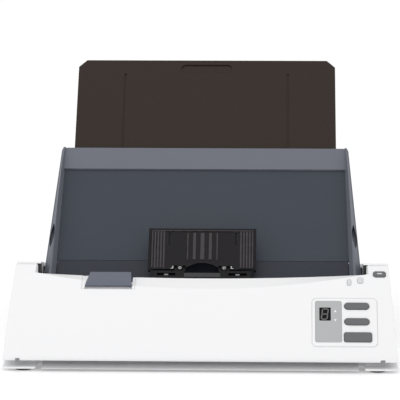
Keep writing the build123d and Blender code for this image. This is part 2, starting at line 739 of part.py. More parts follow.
def latch_hooks():
    """A hook on each end of the shaft, its nose just short of the catch."""
    y, z = at(LATCH_PIVOT_S, LATCH_PIVOT_N)
    nose_s = CATCH_S + CATCH_R + CLEARANCE
    hook = path_prism(
        [
            (LATCH_PIVOT_S - 2.2, LATCH_PIVOT_N),
            (LATCH_PIVOT_S - 1.0, HOOK_REACH_N + 3.0),
            (nose_s, CATCH_N - CATCH_R + 0.4),
            (nose_s + 0.6, HOOK_REACH_N),
            (LATCH_PIVOT_S + 1.4, HOOK_REACH_N),
            (LATCH_PIVOT_S + 2.2, LATCH_PIVOT_N),
        ],
        HOOK_X - HOOK_W / 2,
        HOOK_X + HOOK_W / 2,
    )
    hook += rod(y, z, LATCH_SHAFT_R + 1.6, HOOK_X - HOOK_W / 2, HOOK_X + HOOK_W / 2)
    hook -= rod(y, z, LATCH_SHAFT_R, HOOK_X - HOOK_W, HOOK_X + HOOK_W)
    return both_sides(hook)


def shaft_bearings():
    """Saddles under the latch shaft, standing on the liner."""
    y, z = at(LATCH_PIVOT_S, LATCH_PIVOT_N)
    posts = Part()
    for x in (-108.0, -36.0, 36.0, 108.0):
        post = path_box(x - 1.5, x + 1.5, LATCH_PIVOT_S - 3.2, LATCH_PIVOT_S + 2.9, LINER_N + LINER_T / 2, LATCH_PIVOT_N + 1.5)
        posts += post
    return posts - rod(y, z, LATCH_SHAFT_R + RUNNING, -WIDTH / 2, WIDTH / 2)


def hinge_pins():
    y, z = at(HINGE_S, HINGE_N)
    start = HINGE_ARM_X - CLEARANCE - 3
    pin = rod(y, z, HINGE_PIN_R, start, half_width(z) - 0.6)
    return both_sides(pin)


# Base

def base_outline():
    seam_n = 0.3
    seam_z = COVER_BOTTOM_Z - 0.5
    seam_y = EAR_BACK_Y + 0.4
    seam_bottom = at(s_at_z(seam_z, seam_n), seam_n)
    seam_top = at(s_at_y(seam_y, seam_n), seam_n)
    top_z = EAR_BACK_Z - 0.7
    shoulder = (REAR_Y - 6, REAR_SHOULDER_Z)
    points = [
        (EXIT_Y + 1, BASE_Z),
        (EXIT_Y, BASE_Z + 1.0),
        (EXIT_Y, BASE_Z + 1.8),
        (EXIT_Y + 11, BASE_Z + 1.8),
        seam_bottom,
        seam_top,
        (seam_y, top_z),
        shoulder,
        (REAR_Y, REAR_SHOULDER_Z - 6.5),
        (REAR_Y, BASE_Z + 4),
        (REAR_Y - 3, BASE_Z),
    ]
    face = rounded(side_face(points), [shoulder, (REAR_Y, REAR_SHOULDER_Z - 6.5)], 4.0)
    return rounded(face, [(seam_y, top_z)], 1.5)


def housing():
    """The base's outer shell in one piece, before it is parted along its seam."""
    outline = base_outline()
    room = path_box(-ROOM_HALF, ROOM_HALF, -60, 200, ROOM_N, 120)
    room -= box(-ROOM_HALF, ROOM_HALF, EXIT_Y + 20, 200, -10, BASE_Z + WALL)
    body = side_prism(outline, -WIDTH, WIDTH) & flare(0)
    body -= room
    inner = offset(outline, amount=-WALL, kind=Kind.INTERSECTION)
    cavity = side_prism(inner, -WIDTH, WIDTH) & flare(WALL)
    wall_x = ROOM_HALF + WALL
    kept = path_box(-wall_x, wall_x, DECK_START_S - 2, 200, ROOM_N - WALL, 120)
    body -= cavity - kept
    body -= path_box(-ROOM_HALF, ROOM_HALF, DECK_START_S - 20, DECK_END_S - 4, ROOM_N - 2 * WALL, ROOM_N + 1)
    body -= path_box(GEAR_X - GEAR_W - 0.8, -ROOM_HALF + 1, EXIT_S - 8, FEED_S + 12, -WALL - 2, 1)
    return body


def lower_casing(shell):
    shell = shell & box(-WIDTH, WIDTH, -50, 200, -10, SPLIT_Z)
    hinge_y, hinge_z = at(HINGE_S, HINGE_N)
    x0, x1 = HINGE_ARM_X, HINGE_ARM_X + HINGE_ARM_WIDTH
    arm = path_box(x0, x1, HINGE_S - 2.0, HINGE_S + 2.0, -1.5, HINGE_N)
    arm += rod(hinge_y, hinge_z, 2.0, x0, x1)
    arm -= rod(hinge_y, hinge_z, HINGE_PIN_R + RUNNING, x0 - 1, x1 + 1)
    shell += both_sides(arm)
    for x, y in screw_places():
        shell += Pos(x, y, (BASE_Z + SPLIT_Z) / 2) * Cylinder(4.0, SPLIT_Z - BASE_Z)
        shell -= Pos(x, y, BASE_Z + 1.3) * Cylinder(3.0, 2.8)
        shell -= Pos(x, y, BASE_Z + 6) * Cylinder(1.6, 20)
    for x in (-60, -20, 20, 60):
        for k in range(5):
            shell -= box(x - 12, x + 12, 58 + 6 * k, 60.4 + 6 * k, 0, BASE_Z + WALL + 1)
    return shell


def screw_places():
    return [(x, y) for x in (-146.0, 146.0) for y in (44.0, 80.0)]


def rear_casing(shell):
    shell = shell & box(-WIDTH, WIDTH, -50, 200, SPLIT_Z, 200)
    for x, y in screw_places():
        post = Pos(x, y, SPLIT_Z + 6) * Cylinder(4.0, 12)
        low, high = sorted((x, x * WIDTH / abs(x) / 2))
        web = box(low, high, y - 1.2, y + 1.2, SPLIT_Z, SPLIT_Z + 12)
        shell += (post + web) & flare(WALL / 2)
        shell -= Pos(x, y, SPLIT_Z + 4) * Cylinder(1.2, 8)
    shell -= box(USB_X - USB_W / 2 - 0.2, USB_X + USB_W / 2 + 0.2, REAR_Y - 10, REAR_Y + 5, SOCKET_Z - 0.2, SOCKET_Z + USB_H + 0.2)
    shell -= box(
        POWER_SOCKET_X - POWER_SOCKET_W / 2 - 0.2,
        POWER_SOCKET_X + POWER_SOCKET_W / 2 + 0.2,
        REAR_Y - 10,
        REAR_Y + 5,
        SOCKET_Z - 0.2,
        SOCKET_Z + POWER_SOCKET_H + 0.2,
    )
    for k in range(7):
        for x in (-70.0, -40.0):
            shell -= box(x - 11, x + 11, REAR_Y - 10, REAR_Y + 5, 24 + 5 * k, 26 + 5 * k)
    return shell


def path_plate():
    """The base's guide plate: exit ramp, straight run and the step down to the feed deck."""
    a = radians(PATH_ANGLE)
    bend_s = 12.0
    start = at(bend_s, PLATE_N)
    exit_slope = radians(8)
    ramp_end = (EXIT_Y + 11.0, EXIT_Z + 11.0 * tan(exit_slope))
    low_start = at(bend_s, PLATE_N - PLATE_T)
    top = [
        Line((EXIT_Y, EXIT_Z), ramp_end),
        TangentArc(ramp_end, start, tangent=(cos(exit_slope), sin(exit_slope))),
        Polyline(start, at(72, PLATE_N), at(DECK_START_S, DECK_N), at(DECK_END_S, DECK_N)),
    ]
    under = [
        Polyline(
            at(DECK_END_S, DECK_N),
            at(DECK_END_S, DECK_N - PLATE_T),
            at(DECK_START_S - 1, DECK_N - PLATE_T),
            at(71, PLATE_N - PLATE_T),
            low_start,
            (low_start[0] - 3.2, BASE_Z + 4.6),
            (low_start[0] - 7.2, BASE_Z + 2.6),
            (low_start[0] - 7.2, BASE_Z),
            (EXIT_Y + 0.4, BASE_Z),
            (EXIT_Y, EXIT_Z),
        ),
    ]
    plate = side_prism(make_face(top + under), -PLATE_HALF, PLATE_HALF)
    for x in rib_places():
        plate += path_box(x - RIB_W / 2, x + RIB_W / 2, 14, 71, PLATE_N - 0.5, PLATE_N + RIB_PROUD)
    plate -= path_box(-SENSOR_HALF - 0.3, SENSOR_HALF + 0.3, SENSOR_S - SENSOR_W / 2 - 0.3, SENSOR_S + SENSOR_W / 2 + 0.3, -20, 3)
    plate -= path_box(-FEED_HALF - 1, FEED_HALF + 1, FEED_S - 9.5, FEED_S + 9.5, -20, 3)
    for s in (DRIVE_S, EXIT_S):
        for x in TYRE_XS:
            plate -= path_box(x - TYRE_W / 2 - 0.8, x + TYRE_W / 2 + 0.8, s - 5.2, s + 5.2, -20, 3)
    plate -= both_sides(path_box(HOOK_X - 2.9, PLATE_HALF + 1, 56.5, 69, -20, 3))
    for y, z in bush_axes():
        plate -= rod(y, z, SHAFT_R + 0.6, -PLATE_HALF - 1, PLATE_HALF + 1)
    deck_half = TRAY_INNER_BOTTOM_HALF - CLEARANCE
    plate -= both_sides(path_box(deck_half, WIDTH, DECK_START_S, DECK_END_S + 5, -20, 10))
    return plate


def roller_axis(s, r):
    return at(s, TYRE_PROUD - r)


def side_frame(side):
    """A pressed steel side plate, bored for the bushes, with a lightening window."""
    points = [
        at(9, -3.0),
        at(13, -0.6),
        at(71, -0.6),
        at(DECK_START_S - 0.6, ROOM_N - 0.2),
        at(DECK_END_S - 5.4, ROOM_N - 0.2),
        (92.0, 56.0),
        (92.0, BASE_Z + WALL + 0.2),
        (33.0, BASE_Z + WALL + 0.2),
    ]
    face = rounded(side_face(points), [(92.0, 56.0), (92.0, BASE_Z + WALL + 0.2)], 3)
    x0 = FRAME_X if side > 0 else -FRAME_X - FRAME_T
    frame = side_prism(face, x0, x0 + FRAME_T)
    for y, z in bush_axes():
        frame -= rod(y, z, BUSH_R, x0 - 1, x0 + FRAME_T + 1)
    if side < 0:
        for y, z in (idler_axis(0), idler_axis(1), compound_axis()):
            frame += rod(y, z, STUD_R, GEAR_X - GEAR_W - 0.6, x0)
        y, z = compound_axis()
        frame += rod(y, z, STUD_R, FINE_GEAR_X - FINE_GEAR_W - 0.6, x0)
        y, z = pinion_axis()
        frame -= rod(y, z, 3.0, x0 - 1, x0 + FRAME_T + 1)
    else:
        frame -= rod(72.0, 22.0, 8.0, x0 - 1, x0 + FRAME_T + 1)
        frame -= rod(84.0, 42.0, 5.0, x0 - 1, x0 + FRAME_T + 1)
    catch_y, catch_z = at(CATCH_S, CATCH_N)
    reach = HOOK_X - HOOK_W / 2 - 1.0
    low, high = sorted((side * reach, side * (FRAME_X + 0.2)))
    frame += rod(catch_y, catch_z, CATCH_R, low, high)
    return frame


def bush_axes():
    return [roller_axis(FEED_S, FEED_R), roller_axis(DRIVE_S, SMALL_TYRE_R), roller_axis(EXIT_S, SMALL_TYRE_R)]


def roller_bushes():
    """Flanged plain bearings in the side plates, three a side."""
    bushes = Part()
    for y, z in bush_axes():
        one = rod(y, z, BUSH_R, FRAME_X, FRAME_X + FRAME_T) + rod(y, z, BUSH_R + 1.0, FRAME_X - 1.0, FRAME_X)
        one -= rod(y, z, SHAFT_R + RUNNING, FRAME_X - 5, FRAME_X + 5)
        bushes += both_sides(one)
    return bushes


# Gears

def involute_gear(teeth, module, bore, phase, width, y, z, x0):
    """A spur gear about an X axis, one tooth centred on the phase angle (degrees, Y towards Z)."""
    pitch_r = teeth * module / 2
    base_r = pitch_r * cos(radians(20))
    tip_r = pitch_r + 0.88 * module
    root_r = pitch_r - 1.2 * module
    half_at_pitch = (pi * module / 2 - BACKLASH) / 2 / pitch_r

    def flank(r):
        if r <= base_r:
            r = base_r
        inv = tan(acos(base_r / r)) - acos(base_r / r)
        inv_pitch = tan(radians(20)) - radians(20)
        return half_at_pitch + inv_pitch - inv

    radii = [root_r, max(base_r, root_r + 0.05), pitch_r, tip_r]
    points = []
    for k in range(teeth):
        centre = radians(phase) + 2 * pi * k / teeth
        rising = [(r, centre - flank(r)) for r in radii]
        falling = [(r, centre + flank(r)) for r in reversed(radii)]
        points += [(y + r * cos(t), z + r * sin(t)) for r, t in rising + falling]
    gear = side_prism(points, x0 - width, x0)
    return gear - rod(y, z, bore, x0 - width - 1, x0 + 1)


def meshing_phase(phase_a, teeth_a, teeth_b, angle):
    """The phase of gear b that puts its gap on gear a's tooth along the line of centres (degrees)."""
    share = (angle - phase_a) / (360 / teeth_a)
    share -= floor(share)
    return angle + 180 - (0.5 - share) * 360 / teeth_b


def apex(a, b, ra, rb, side):
    """The point at distance ra from a and rb from b, on the given side of the line a to b."""
    dy, dz = b[0] - a[0], b[1] - a[1]
    d = hypot(dy, dz)
    along = (ra ** 2 - rb ** 2 + d ** 2) / (2 * d)
    off = side * sqrt(ra ** 2 - along ** 2)
    return (a[0] + (along * dy - off * dz) / d, a[1] + (along * dz + off * dy) / d)


def pitch_radius(teeth):
    return teeth * MODULE / 2


def idler_axis(which):
    feed, drive, exit_ = bush_axes()
    if which == 0:
        reach = pitch_radius(FEED_TEETH + UPPER_IDLER_TEETH)
        other = pitch_radius(DRIVE_TEETH + UPPER_IDLER_TEETH)
        return apex(feed, drive, reach, other, 1)
    reach = pitch_radius(DRIVE_TEETH + LOWER_IDLER_TEETH)
    other = pitch_radius(EXIT_TEETH + LOWER_IDLER_TEETH)
    return apex(drive, exit_, reach, other, 1)


def compound_axis():
    y, z = roller_axis(FEED_S, FEED_R)
    reach = pitch_radius(FEED_TEETH + COMPOUND_SMALL_TEETH)
    return (y + reach * cos(radians(COMPOUND_ANGLE)), z + reach * sin(radians(COMPOUND_ANGLE)))


def pinion_axis():
    y, z = compound_axis()
    reach = (COMPOUND_LARGE_TEETH + PINION_TEETH) * FINE_MODULE / 2
    return (y + reach * cos(radians(PINION_ANGLE)), z + reach * sin(radians(PINION_ANGLE)))


def line_angle(a, b):
    return degrees(atan2(b[1] - a[1], b[0] - a[0]))


def gear_train():
    feed, drive, exit_ = bush_axes()
    upper, lower = idler_axis(0), idler_axis(1)
    compound, pinion = compound_axis(), pinion_axis()
    feed_phase = 0.0
    upper_phase = meshing_phase(feed_phase, FEED_TEETH, UPPER_IDLER_TEETH, line_angle(feed, upper))
    drive_phase = meshing_phase(upper_phase, UPPER_IDLER_TEETH, DRIVE_TEETH, line_angle(upper, drive))
    lower_phase = meshing_phase(drive_phase, DRIVE_TEETH, LOWER_IDLER_TEETH, line_angle(drive, lower))
    exit_phase = meshing_phase(lower_phase, LOWER_IDLER_TEETH, EXIT_TEETH, line_angle(lower, exit_))
    small_phase = meshing_phase(feed_phase, FEED_TEETH, COMPOUND_SMALL_TEETH, line_angle(feed, compound))
    large_phase = small_phase
    pinion_phase = meshing_phase(large_phase, COMPOUND_LARGE_TEETH, PINION_TEETH, line_angle(compound, pinion))
    stud_bore = STUD_R + RUNNING
    NODES["feed_gear"] = involute_gear(FEED_TEETH, MODULE, SHAFT_R, feed_phase, GEAR_W, *feed, GEAR_X)
    NODES["drive_gear"] = involute_gear(DRIVE_TEETH, MODULE, SHAFT_R, drive_phase, GEAR_W, *drive, GEAR_X)
    NODES["exit_gear"] = involute_gear(EXIT_TEETH, MODULE, SHAFT_R, exit_phase, GEAR_W, *exit_, GEAR_X)
    NODES["upper_idler_gear"] = involute_gear(UPPER_IDLER_TEETH, MODULE, stud_bore, upper_phase, GEAR_W, *upper, GEAR_X)
    NODES["lower_idler_gear"] = involute_gear(LOWER_IDLER_TEETH, MODULE, stud_bore, lower_phase, GEAR_W, *lower, GEAR_X)
    small = involute_gear(COMPOUND_SMALL_TEETH, MODULE, stud_bore, small_phase, GEAR_W + 0.5, *compound, GEAR_X)
    large = involute_gear(
        COMPOUND_LARGE_TEETH, FINE_MODULE, stud_bore, large_phase, FINE_GEAR_W, *compound, FINE_GEAR_X
    )
    collar = tube(*compound, 4.0, stud_bore, FINE_GEAR_X, GEAR_X - GEAR_W)
    NODES["reduction_gear"] = small + collar + large
    NODES["motor_pinion"] = involute_gear(
        PINION_TEETH, FINE_MODULE, MOTOR_SHAFT_R, pinion_phase, FINE_GEAR_W, *pinion, FINE_GEAR_X
    )


def rollers():
    feed, drive, exit_ = bush_axes()
    shaft_x0 = GEAR_X - GEAR_W - 0.6
    shaft_x1 = FRAME_X + FRAME_T + 1.2
    NODES["feed_roller_shaft"] = rod(*feed, SHAFT_R, shaft_x0, shaft_x1)
    hub = tube(*feed, FEED_HUB_R, SHAFT_R, -FEED_HALF, FEED_HALF)
    hub += tube(*feed, FEED_HUB_R - 2, SHAFT_R, FEED_HALF, FEED_HALF + 4)
    NODES["feed_roller_hub"] = hub
    tyre = tube(*feed, FEED_R, FEED_HUB_R, -FEED_HALF + 1, FEED_HALF - 1)
    for x in (-10.0, 0.0, 10.0):
        tyre -= tube(*feed, FEED_R + 1, FEED_R - 1.0, x - 0.8, x + 0.8)
    NODES["feed_roller_tyre"] = tyre
    for name, axis in (("drive", drive), ("exit", exit_)):
        NODES[name + "_roller_shaft"] = rod(*axis, SHAFT_R, shaft_x0, shaft_x1)
        tyres = Part()
        for x in TYRE_XS:
            tyres += tube(*axis, SMALL_TYRE_R, SHAFT_R, x - TYRE_W / 2, x + TYRE_W / 2)
        NODES[name + "_roller_tyres"] = tyres


def drive_motor():
    y, z = pinion_axis()
    front = -FRAME_X
    can = rod(y, z, MOTOR_R, front, front + MOTOR_L)
    can = chamfer(can.edges().filter_by(GeomType.CIRCLE), 1.0)
    can += rod(y, z, 4.0, front + MOTOR_L, front + MOTOR_L + 2.5)
    can += rod(y, z, 2.6, front - FRAME_T - 0.8, front)
    return can


def motor_pinion_shaft():
    y, z = pinion_axis()
    return rod(y, z, MOTOR_SHAFT_R, FINE_GEAR_X - FINE_GEAR_W - 0.5, -FRAME_X - FRAME_T - 1.0)


# Rear electronics

def main_board():
    z0 = BASE_Z + WALL + 2
    board = box(-84, 104, MAIN_BOARD_Y, MAIN_BOARD_Y + 1.6, z0, 58)
    chip_y = MAIN_BOARD_Y
    for x, z, w, h, t in ((-30, 36, 22, 22, 2.0), (8, 40, 14, 10, 1.6), (-58, 44, 10, 16, 3.0), (84, 44, 18, 8, 5.0)):
        board += box(x - w / 2, x + w / 2, chip_y - t, chip_y, z - h / 2, z + h / 2)
    for x in (40, 52, 64):
        board += Plane((x, chip_y, 48), z_dir=(0, -1, 0)) * Pos(0, 0, 4) * Cylinder(4.0, 8)
    feet = box(-78, -70, MAIN_BOARD_Y - 3, MAIN_BOARD_Y + 4, BASE_Z + WALL, z0 + 1)
    feet += box(90, 98, MAIN_BOARD_Y - 3, MAIN_BOARD_Y + 4, BASE_Z + WALL, z0 + 1)
    return board + feet


def usb_socket():
    y0 = MAIN_BOARD_Y + 1.6
    shell = box(USB_X - USB_W / 2, USB_X + USB_W / 2, y0, REAR_Y, SOCKET_Z, SOCKET_Z + USB_H)
    mouth = box(USB_X - 4.25, USB_X + 4.25, y0 + 1.5, REAR_Y + 1, SOCKET_Z + 1.4, SOCKET_Z + 9.2)
    tongue = box(USB_X - 2.8, USB_X + 2.8, y0 + 1, REAR_Y - 1.0, SOCKET_Z + 3.8, SOCKET_Z + 7.0)
    return shell - mouth + tongue


def power_socket():
    y0 = MAIN_BOARD_Y + 1.6
    body = box(
        POWER_SOCKET_X - POWER_SOCKET_W / 2,
        POWER_SOCKET_X + POWER_SOCKET_W / 2,
        y0,
        REAR_Y,
        SOCKET_Z,
        SOCKET_Z + POWER_SOCKET_H,
    )
    mouth = Plane((POWER_SOCKET_X, y0 + 1.5, SOCKET_Z + POWER_SOCKET_H / 2), z_dir=(0, 1, 0))
    body -= extrude(mouth * Circle(3.15), 20)
    return body + extrude(mouth * Circle(1.0), REAR_Y - y0 - 2.5)


def rubber_feet():
    feet = Part()
    for x in (-FOOT_X, FOOT_X):
        for y in (FOOT_FRONT_Y, FOOT_REAR_Y):
            foot = Pos(x, y, BASE_Z / 2) * Cylinder(FOOT_R, BASE_Z)
            feet += fillet(foot.edges().sort_by(Axis.Z)[0], 0.6)
    return feet


def case_screws():
    screws = Part()
    for x, y in screw_places():
        head = Pos(x, y, BASE_Z + 1.7) * Cylinder(2.8, 2.0)
        head -= Pos(x, y, BASE_Z + 0.9) * Box(3.6, 0.7, 1.0)
        head -= Pos(x, y, BASE_Z + 0.9) * Box(0.7, 3.6, 1.0)
        screws += head + Pos(x, y, BASE_Z + 2.7 + 5.5) * Cylinder(1.15, 11)
    return screws


# Feed tray

def tray_plan(bottom_half, top_half, s0, s1, n0, n1):
    """A prism square to the path with sides that draw in evenly towards the top."""
    outline = Polyline(
        (-bottom_half, s0),
        (bottom_half, s0),
        (top_half, s1),
        (-top_half, s1),
        close=True,
    )
    return extrude(PATH.offset(n0) * make_face(outline), n1 - n0)


def tray_half(s):
    """The tray's outer half width at s."""
    share = (s - TRAY_LEG_S) / (TRAY_TOP_S - TRAY_LEG_S)
    return TRAY_BOTTOM_HALF + share * (TRAY_TOP_HALF - TRAY_BOTTOM_HALF)


def well_face(n, grow):
    """The room between the tray's side walls at height n."""
    low_s, high_s = TRAY_LEG_S - 4, TRAY_TOP_S + 4
    low = TRAY_INNER_BOTTOM_HALF + grow
    high = TRAY_INNER_TOP_HALF + grow * 0.5
    outline = Polyline((-low, low_s), (low, low_s), (high, high_s), (-high, high_s), close=True)
    return PATH.offset(n) * make_face(outline)


def across(s):
    """A plane square to the path at s, its local y pointing down from the path."""
    a = radians(PATH_ANGLE)
    y, z = at(s, 0)
    return Plane(origin=(0, y, z), x_dir=(1, 0, 0), z_dir=(0, cos(a), sin(a)))


def ridge_face(s, inset):
    """What is cut off outside the ridge of the tray's side wall."""
    half = tray_half(s)
    outline = Polyline(
        (half + 2, 2.0), (half - 0.6, 2.0), (half - inset, -TRAY_WALL_N - 0.2), (half + 2, -TRAY_WALL_N - 0.2), close=True
    )
    return across(s) * make_face(outline)


def finger_scoop():
    """An almond pocket in the slope outside the ridge."""
    low = (tray_half(SCOOP_FROM_S) - SCOOP_W / 2 - 0.6, SCOOP_FROM_S)
    high = (tray_half(SCOOP_TO_S) - SCOOP_W / 2 - 0.6, SCOOP_TO_S)
    mid = ((low[0] + high[0]) / 2, (low[1] + high[1]) / 2)
    outer = ThreePointArc(low, (mid[0] + SCOOP_W / 2, mid[1]), high)
    inner = ThreePointArc(high, (mid[0] - SCOOP_W / 2, mid[1]), low)
    return extrude(PATH.offset(TRAY_FLOOR_N - 1.0) * make_face([outer, inner]), 20)


def tray_body():
    """The tray: a recessed floor, a raised band at the top and ridged side walls down to the deck."""
    under_n = TRAY_FLOOR_N - TRAY_FLOOR_T
    outline = Polyline(
        (-TRAY_BOTTOM_HALF, TRAY_LEG_S),
        (TRAY_BOTTOM_HALF, TRAY_LEG_S),
        (TRAY_TOP_HALF, TRAY_TOP_S),
        (-TRAY_TOP_HALF, TRAY_TOP_S),
        close=True,
    )
    plan = make_face(outline)
    plan = fillet(plan.vertices().sort_by(Axis.Y)[-2:], TRAY_CORNER_R)
    block = extrude(PATH.offset(ROOM_N + 0.2) * plan, TRAY_WALL_N - ROOM_N - 0.2)
    block -= loft([well_face(TRAY_FLOOR_N, 0), well_face(TRAY_WALL_N + 1, 4.0)], ruled=True)
    block -= path_box(-TRAY_INNER_BOTTOM_HALF, TRAY_INNER_BOTTOM_HALF, 0, TRAY_BOTTOM_S, -20, 20)
    block -= path_prism(
        [
            (TRAY_BAND_S - 4, TRAY_WALL_N),
            (TRAY_TOP_S + 1, TRAY_FLOOR_N + TRAY_BAND_RISE + 0.6),
            (TRAY_TOP_S + 1, TRAY_WALL_N + 5),
            (TRAY_BAND_S - 4, TRAY_WALL_N + 5),
        ],
        -WIDTH / 2,
        WIDTH / 2,
    )
    ridge = loft([ridge_face(TRAY_LEG_S - 1, TRAY_RIDGE_IN), ridge_face(TRAY_TOP_S + 1, TRAY_RIDGE_IN - 2.4)], ruled=True)
    block -= both_sides(ridge)
    block -= both_sides(finger_scoop())
    band_half = TRAY_TOP_HALF - 2.0
    band = path_box(-band_half, band_half, TRAY_BAND_S, TRAY_TOP_S - 1.2, TRAY_FLOOR_N - 1, TRAY_FLOOR_N + TRAY_BAND_RISE)
    tall = band.edges().filter_by(Axis(PATH.origin, PATH.z_dir)).sort_by(Axis(PATH.origin, PATH.y_dir))
    block += fillet(tall[-2:], TRAY_CORNER_R - 1.5)
    rail_low = under_n - EXTENSION_T - 0.8
    rail = path_box(TRAY_RAIL_HALF, TRAY_RAIL_HALF + TRAY_RAIL_W, TRAY_BOTTOM_S + 3, TRAY_TOP_S - 8, rail_low, under_n + 0.5)
    block += both_sides(rail)
    return block


def tray_back_cover():
    top_n = TRAY_FLOOR_N - TRAY_FLOOR_T - EXTENSION_T - 0.8
    half = TRAY_RAIL_HALF + TRAY_RAIL_W
    plate = path_box(-half, half, TRAY_BOTTOM_S + 3, TRAY_TOP_S - 8, top_n - TRAY_BACK_T, top_n)
    tall = plate.edges().filter_by(Axis(PATH.origin, PATH.z_dir))
    plate = fillet(tall, 3.0)
    for k in range(-3, 4):
        x = 28.0 * k
        plate += path_box(x - 0.9, x + 0.9, TRAY_BOTTOM_S + 8, TRAY_TOP_S - 13, top_n - TRAY_BACK_T - 1.5, top_n - TRAY_BACK_T)
    for s in (TRAY_BOTTOM_S + 34, TRAY_BOTTOM_S + 68):
        plate += path_box(-half + 8, half - 8, s - 0.9, s + 0.9, top_n - TRAY_BACK_T - 1.5, top_n - TRAY_BACK_T)
    return plate


def tray_extension():
    """The smoky panel that slides out of the tray's top, shown drawn out."""
    top_n = TRAY_FLOOR_N - TRAY_FLOOR_T - CLEARANCE
    low_s = TRAY_TOP_S - EXTENSION_HELD
    plate = path_box(-EXTENSION_HALF, EXTENSION_HALF, low_s, EXTENSION_TOP_S, top_n - EXTENSION_T, top_n)
    tall = plate.edges().filter_by(Axis(PATH.origin, PATH.z_dir)).sort_by(Axis(PATH.origin, PATH.y_dir))
    plate = chamfer(tall[-2:], EXTENSION_CORNER)
    pull = path_pill(0, EXTENSION_TOP_S - 9, 44, 9, 4.2, top_n - 1.1, top_n + 1)
    plate -= pull
    for x in (-70.0, 70.0):
        plate -= path_box(x - 1.0, x + 1.0, low_s + 6, EXTENSION_TOP_S - 14, top_n - 0.8, top_n + 1)
    return plate


def model():
    shell = housing()
    NODES["lower_casing"] = lower_casing(shell)
    NODES["rear_casing"] = rear_casing(shell)
    NODES["path_plate"] = path_plate()
    NODES["side_frame_left"] = side_frame(-1)
    NODES["side_frame_right"] = side_frame(1)
    NODES["roller_bushes"] = roller_bushes()
    NODES["rear_image_sensor"] = image_sensor(-1)
    NODES["rear_sensor_glass"] = sensor_glass(-1)
    NODES["drive_motor"] = drive_motor()
    NODES["main_board"] = main_board()
    NODES["usb_socket"] = usb_socket()
    NODES["power_socket"] = power_socket()
    NODES["rubber_feet"] = rubber_feet()
    NODES["case_screws"] = case_screws()
    NODES["hinge_pins"] = hinge_pins()
    rollers()
    gear_train()
    NODES["motor_pinion"] += motor_pinion_shaft()
    NODES["cover_shell"] = cover_shell()
    NODES["cover_liner"] = liner()
    NODES["panel_bezel"] = panel_bezel()
    NODES["display_plate"] = display_plate()
    NODES["display_window"] = display_window()
    NODES["led_windows"] = led_shapes(0, 17.5, FACE_TOP_N + 0.5)
    NODES["control_board"] = control_board()
    NODES["power_switch"] = power_switch()
    NODES["front_image_sensor"] = image_sensor(1)
    NODES["front_sensor_glass"] = sensor_glass(1)
    NODES["flap_bracket"] = flap_bracket()
    NODES["drive_pinch_rollers"] = pinch_rollers(DRIVE_S)
    NODES["exit_pinch_rollers"] = pinch_rollers(EXIT_S)
    NODES["separation_pad_holder"] = pad_holder()
    NODES["separation_pad"] = friction_pad()
    NODES["guide_flap"] = guide_flap()
    NODES["release_latch"] = release_latch()
    NODES["latch_shaft"] = latch_shaft()
    NODES["latch_hooks"] = latch_hooks()
    names = ("upper_select_button", "lower_select_button", "start_button")
    for name, outline in zip(names, button_outlines()):
        NODES[name] = panel_button(*outline)
    NODES["power_button"] = power_button()
    NODES["tray_body"] = tray_body()
    NODES["tray_back_cover"] = tray_back_cover()
    NODES["tray_extension"] = tray_extension()


def write():
    """Centre the model on its own box front to back, and write one file per node."""
    whole = Compound(children=[Compound(shape.solids()) for shape in NODES.values()])
    limits = whole.bounding_box()
    shift = -(limits.min.Y + limits.max.Y) / 2
    os.makedirs("parts", exist_ok=True)
    for name, shape in NODES.items():
        moved = Pos(0, shift, 0) * Compound(shape.solids())
        export_step(moved, "parts/" + name + ".step")
    print("shift in Y", round(shift, 4), "height", round(limits.max.Z, 3))


model()
write()
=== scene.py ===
"""Looks of a sheet-feed document scanner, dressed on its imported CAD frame. Metres, +Z up."""

import json
from math import cos, pi, radians, sin

import bmesh
import bpy
from mathutils import Matrix, Vector


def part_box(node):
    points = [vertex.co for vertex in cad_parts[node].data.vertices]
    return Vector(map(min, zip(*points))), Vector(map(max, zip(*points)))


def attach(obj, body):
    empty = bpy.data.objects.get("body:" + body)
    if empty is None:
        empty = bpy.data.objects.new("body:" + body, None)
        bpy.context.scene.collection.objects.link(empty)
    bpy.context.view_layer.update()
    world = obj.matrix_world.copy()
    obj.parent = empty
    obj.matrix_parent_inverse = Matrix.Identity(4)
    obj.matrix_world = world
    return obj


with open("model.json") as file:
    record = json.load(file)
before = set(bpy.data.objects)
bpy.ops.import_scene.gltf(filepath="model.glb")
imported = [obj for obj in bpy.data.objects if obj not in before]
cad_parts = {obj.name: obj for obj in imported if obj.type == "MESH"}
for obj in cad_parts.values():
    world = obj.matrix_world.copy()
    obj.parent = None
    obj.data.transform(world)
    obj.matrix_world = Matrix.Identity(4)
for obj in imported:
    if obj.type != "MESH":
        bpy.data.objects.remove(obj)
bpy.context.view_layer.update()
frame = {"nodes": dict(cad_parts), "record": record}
NODES = frame["nodes"]

# Feed path plane
REAR_FACE_Y = 0.096
SHIFT_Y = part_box("rear_casing")[1].y - REAR_FACE_Y
PATH_ANGLE = radians(50)
POWER_SLOPE = radians(33)
PATH_ORIGIN = Vector((0, 0.023 + SHIFT_Y, 0.003))
ALONG = Vector((0, cos(PATH_ANGLE), sin(PATH_ANGLE)))
OUT = Vector((0, -sin(PATH_ANGLE), cos(PATH_ANGLE)))

# Tray, and the exit slot whose low part is painted pale as painted light
TRAY_LOW_S = 0.097
TRAY_BAND_S = 0.1843
TRAY_INNER_HALF = 0.1201
TRAY_TAPER = 0.022
EXIT_TOP_Z = 0.021
EXIT_FADE = 0.003

# Corners of the rear casing beside the tray, painted near black as painted shade, from the feed path's
# origin
THROAT_HALF = 0.1347
THROAT_FROM_Y = 0.0434
THROAT_TO_Y = 0.0500
THROAT_TOP_Z = 0.0730

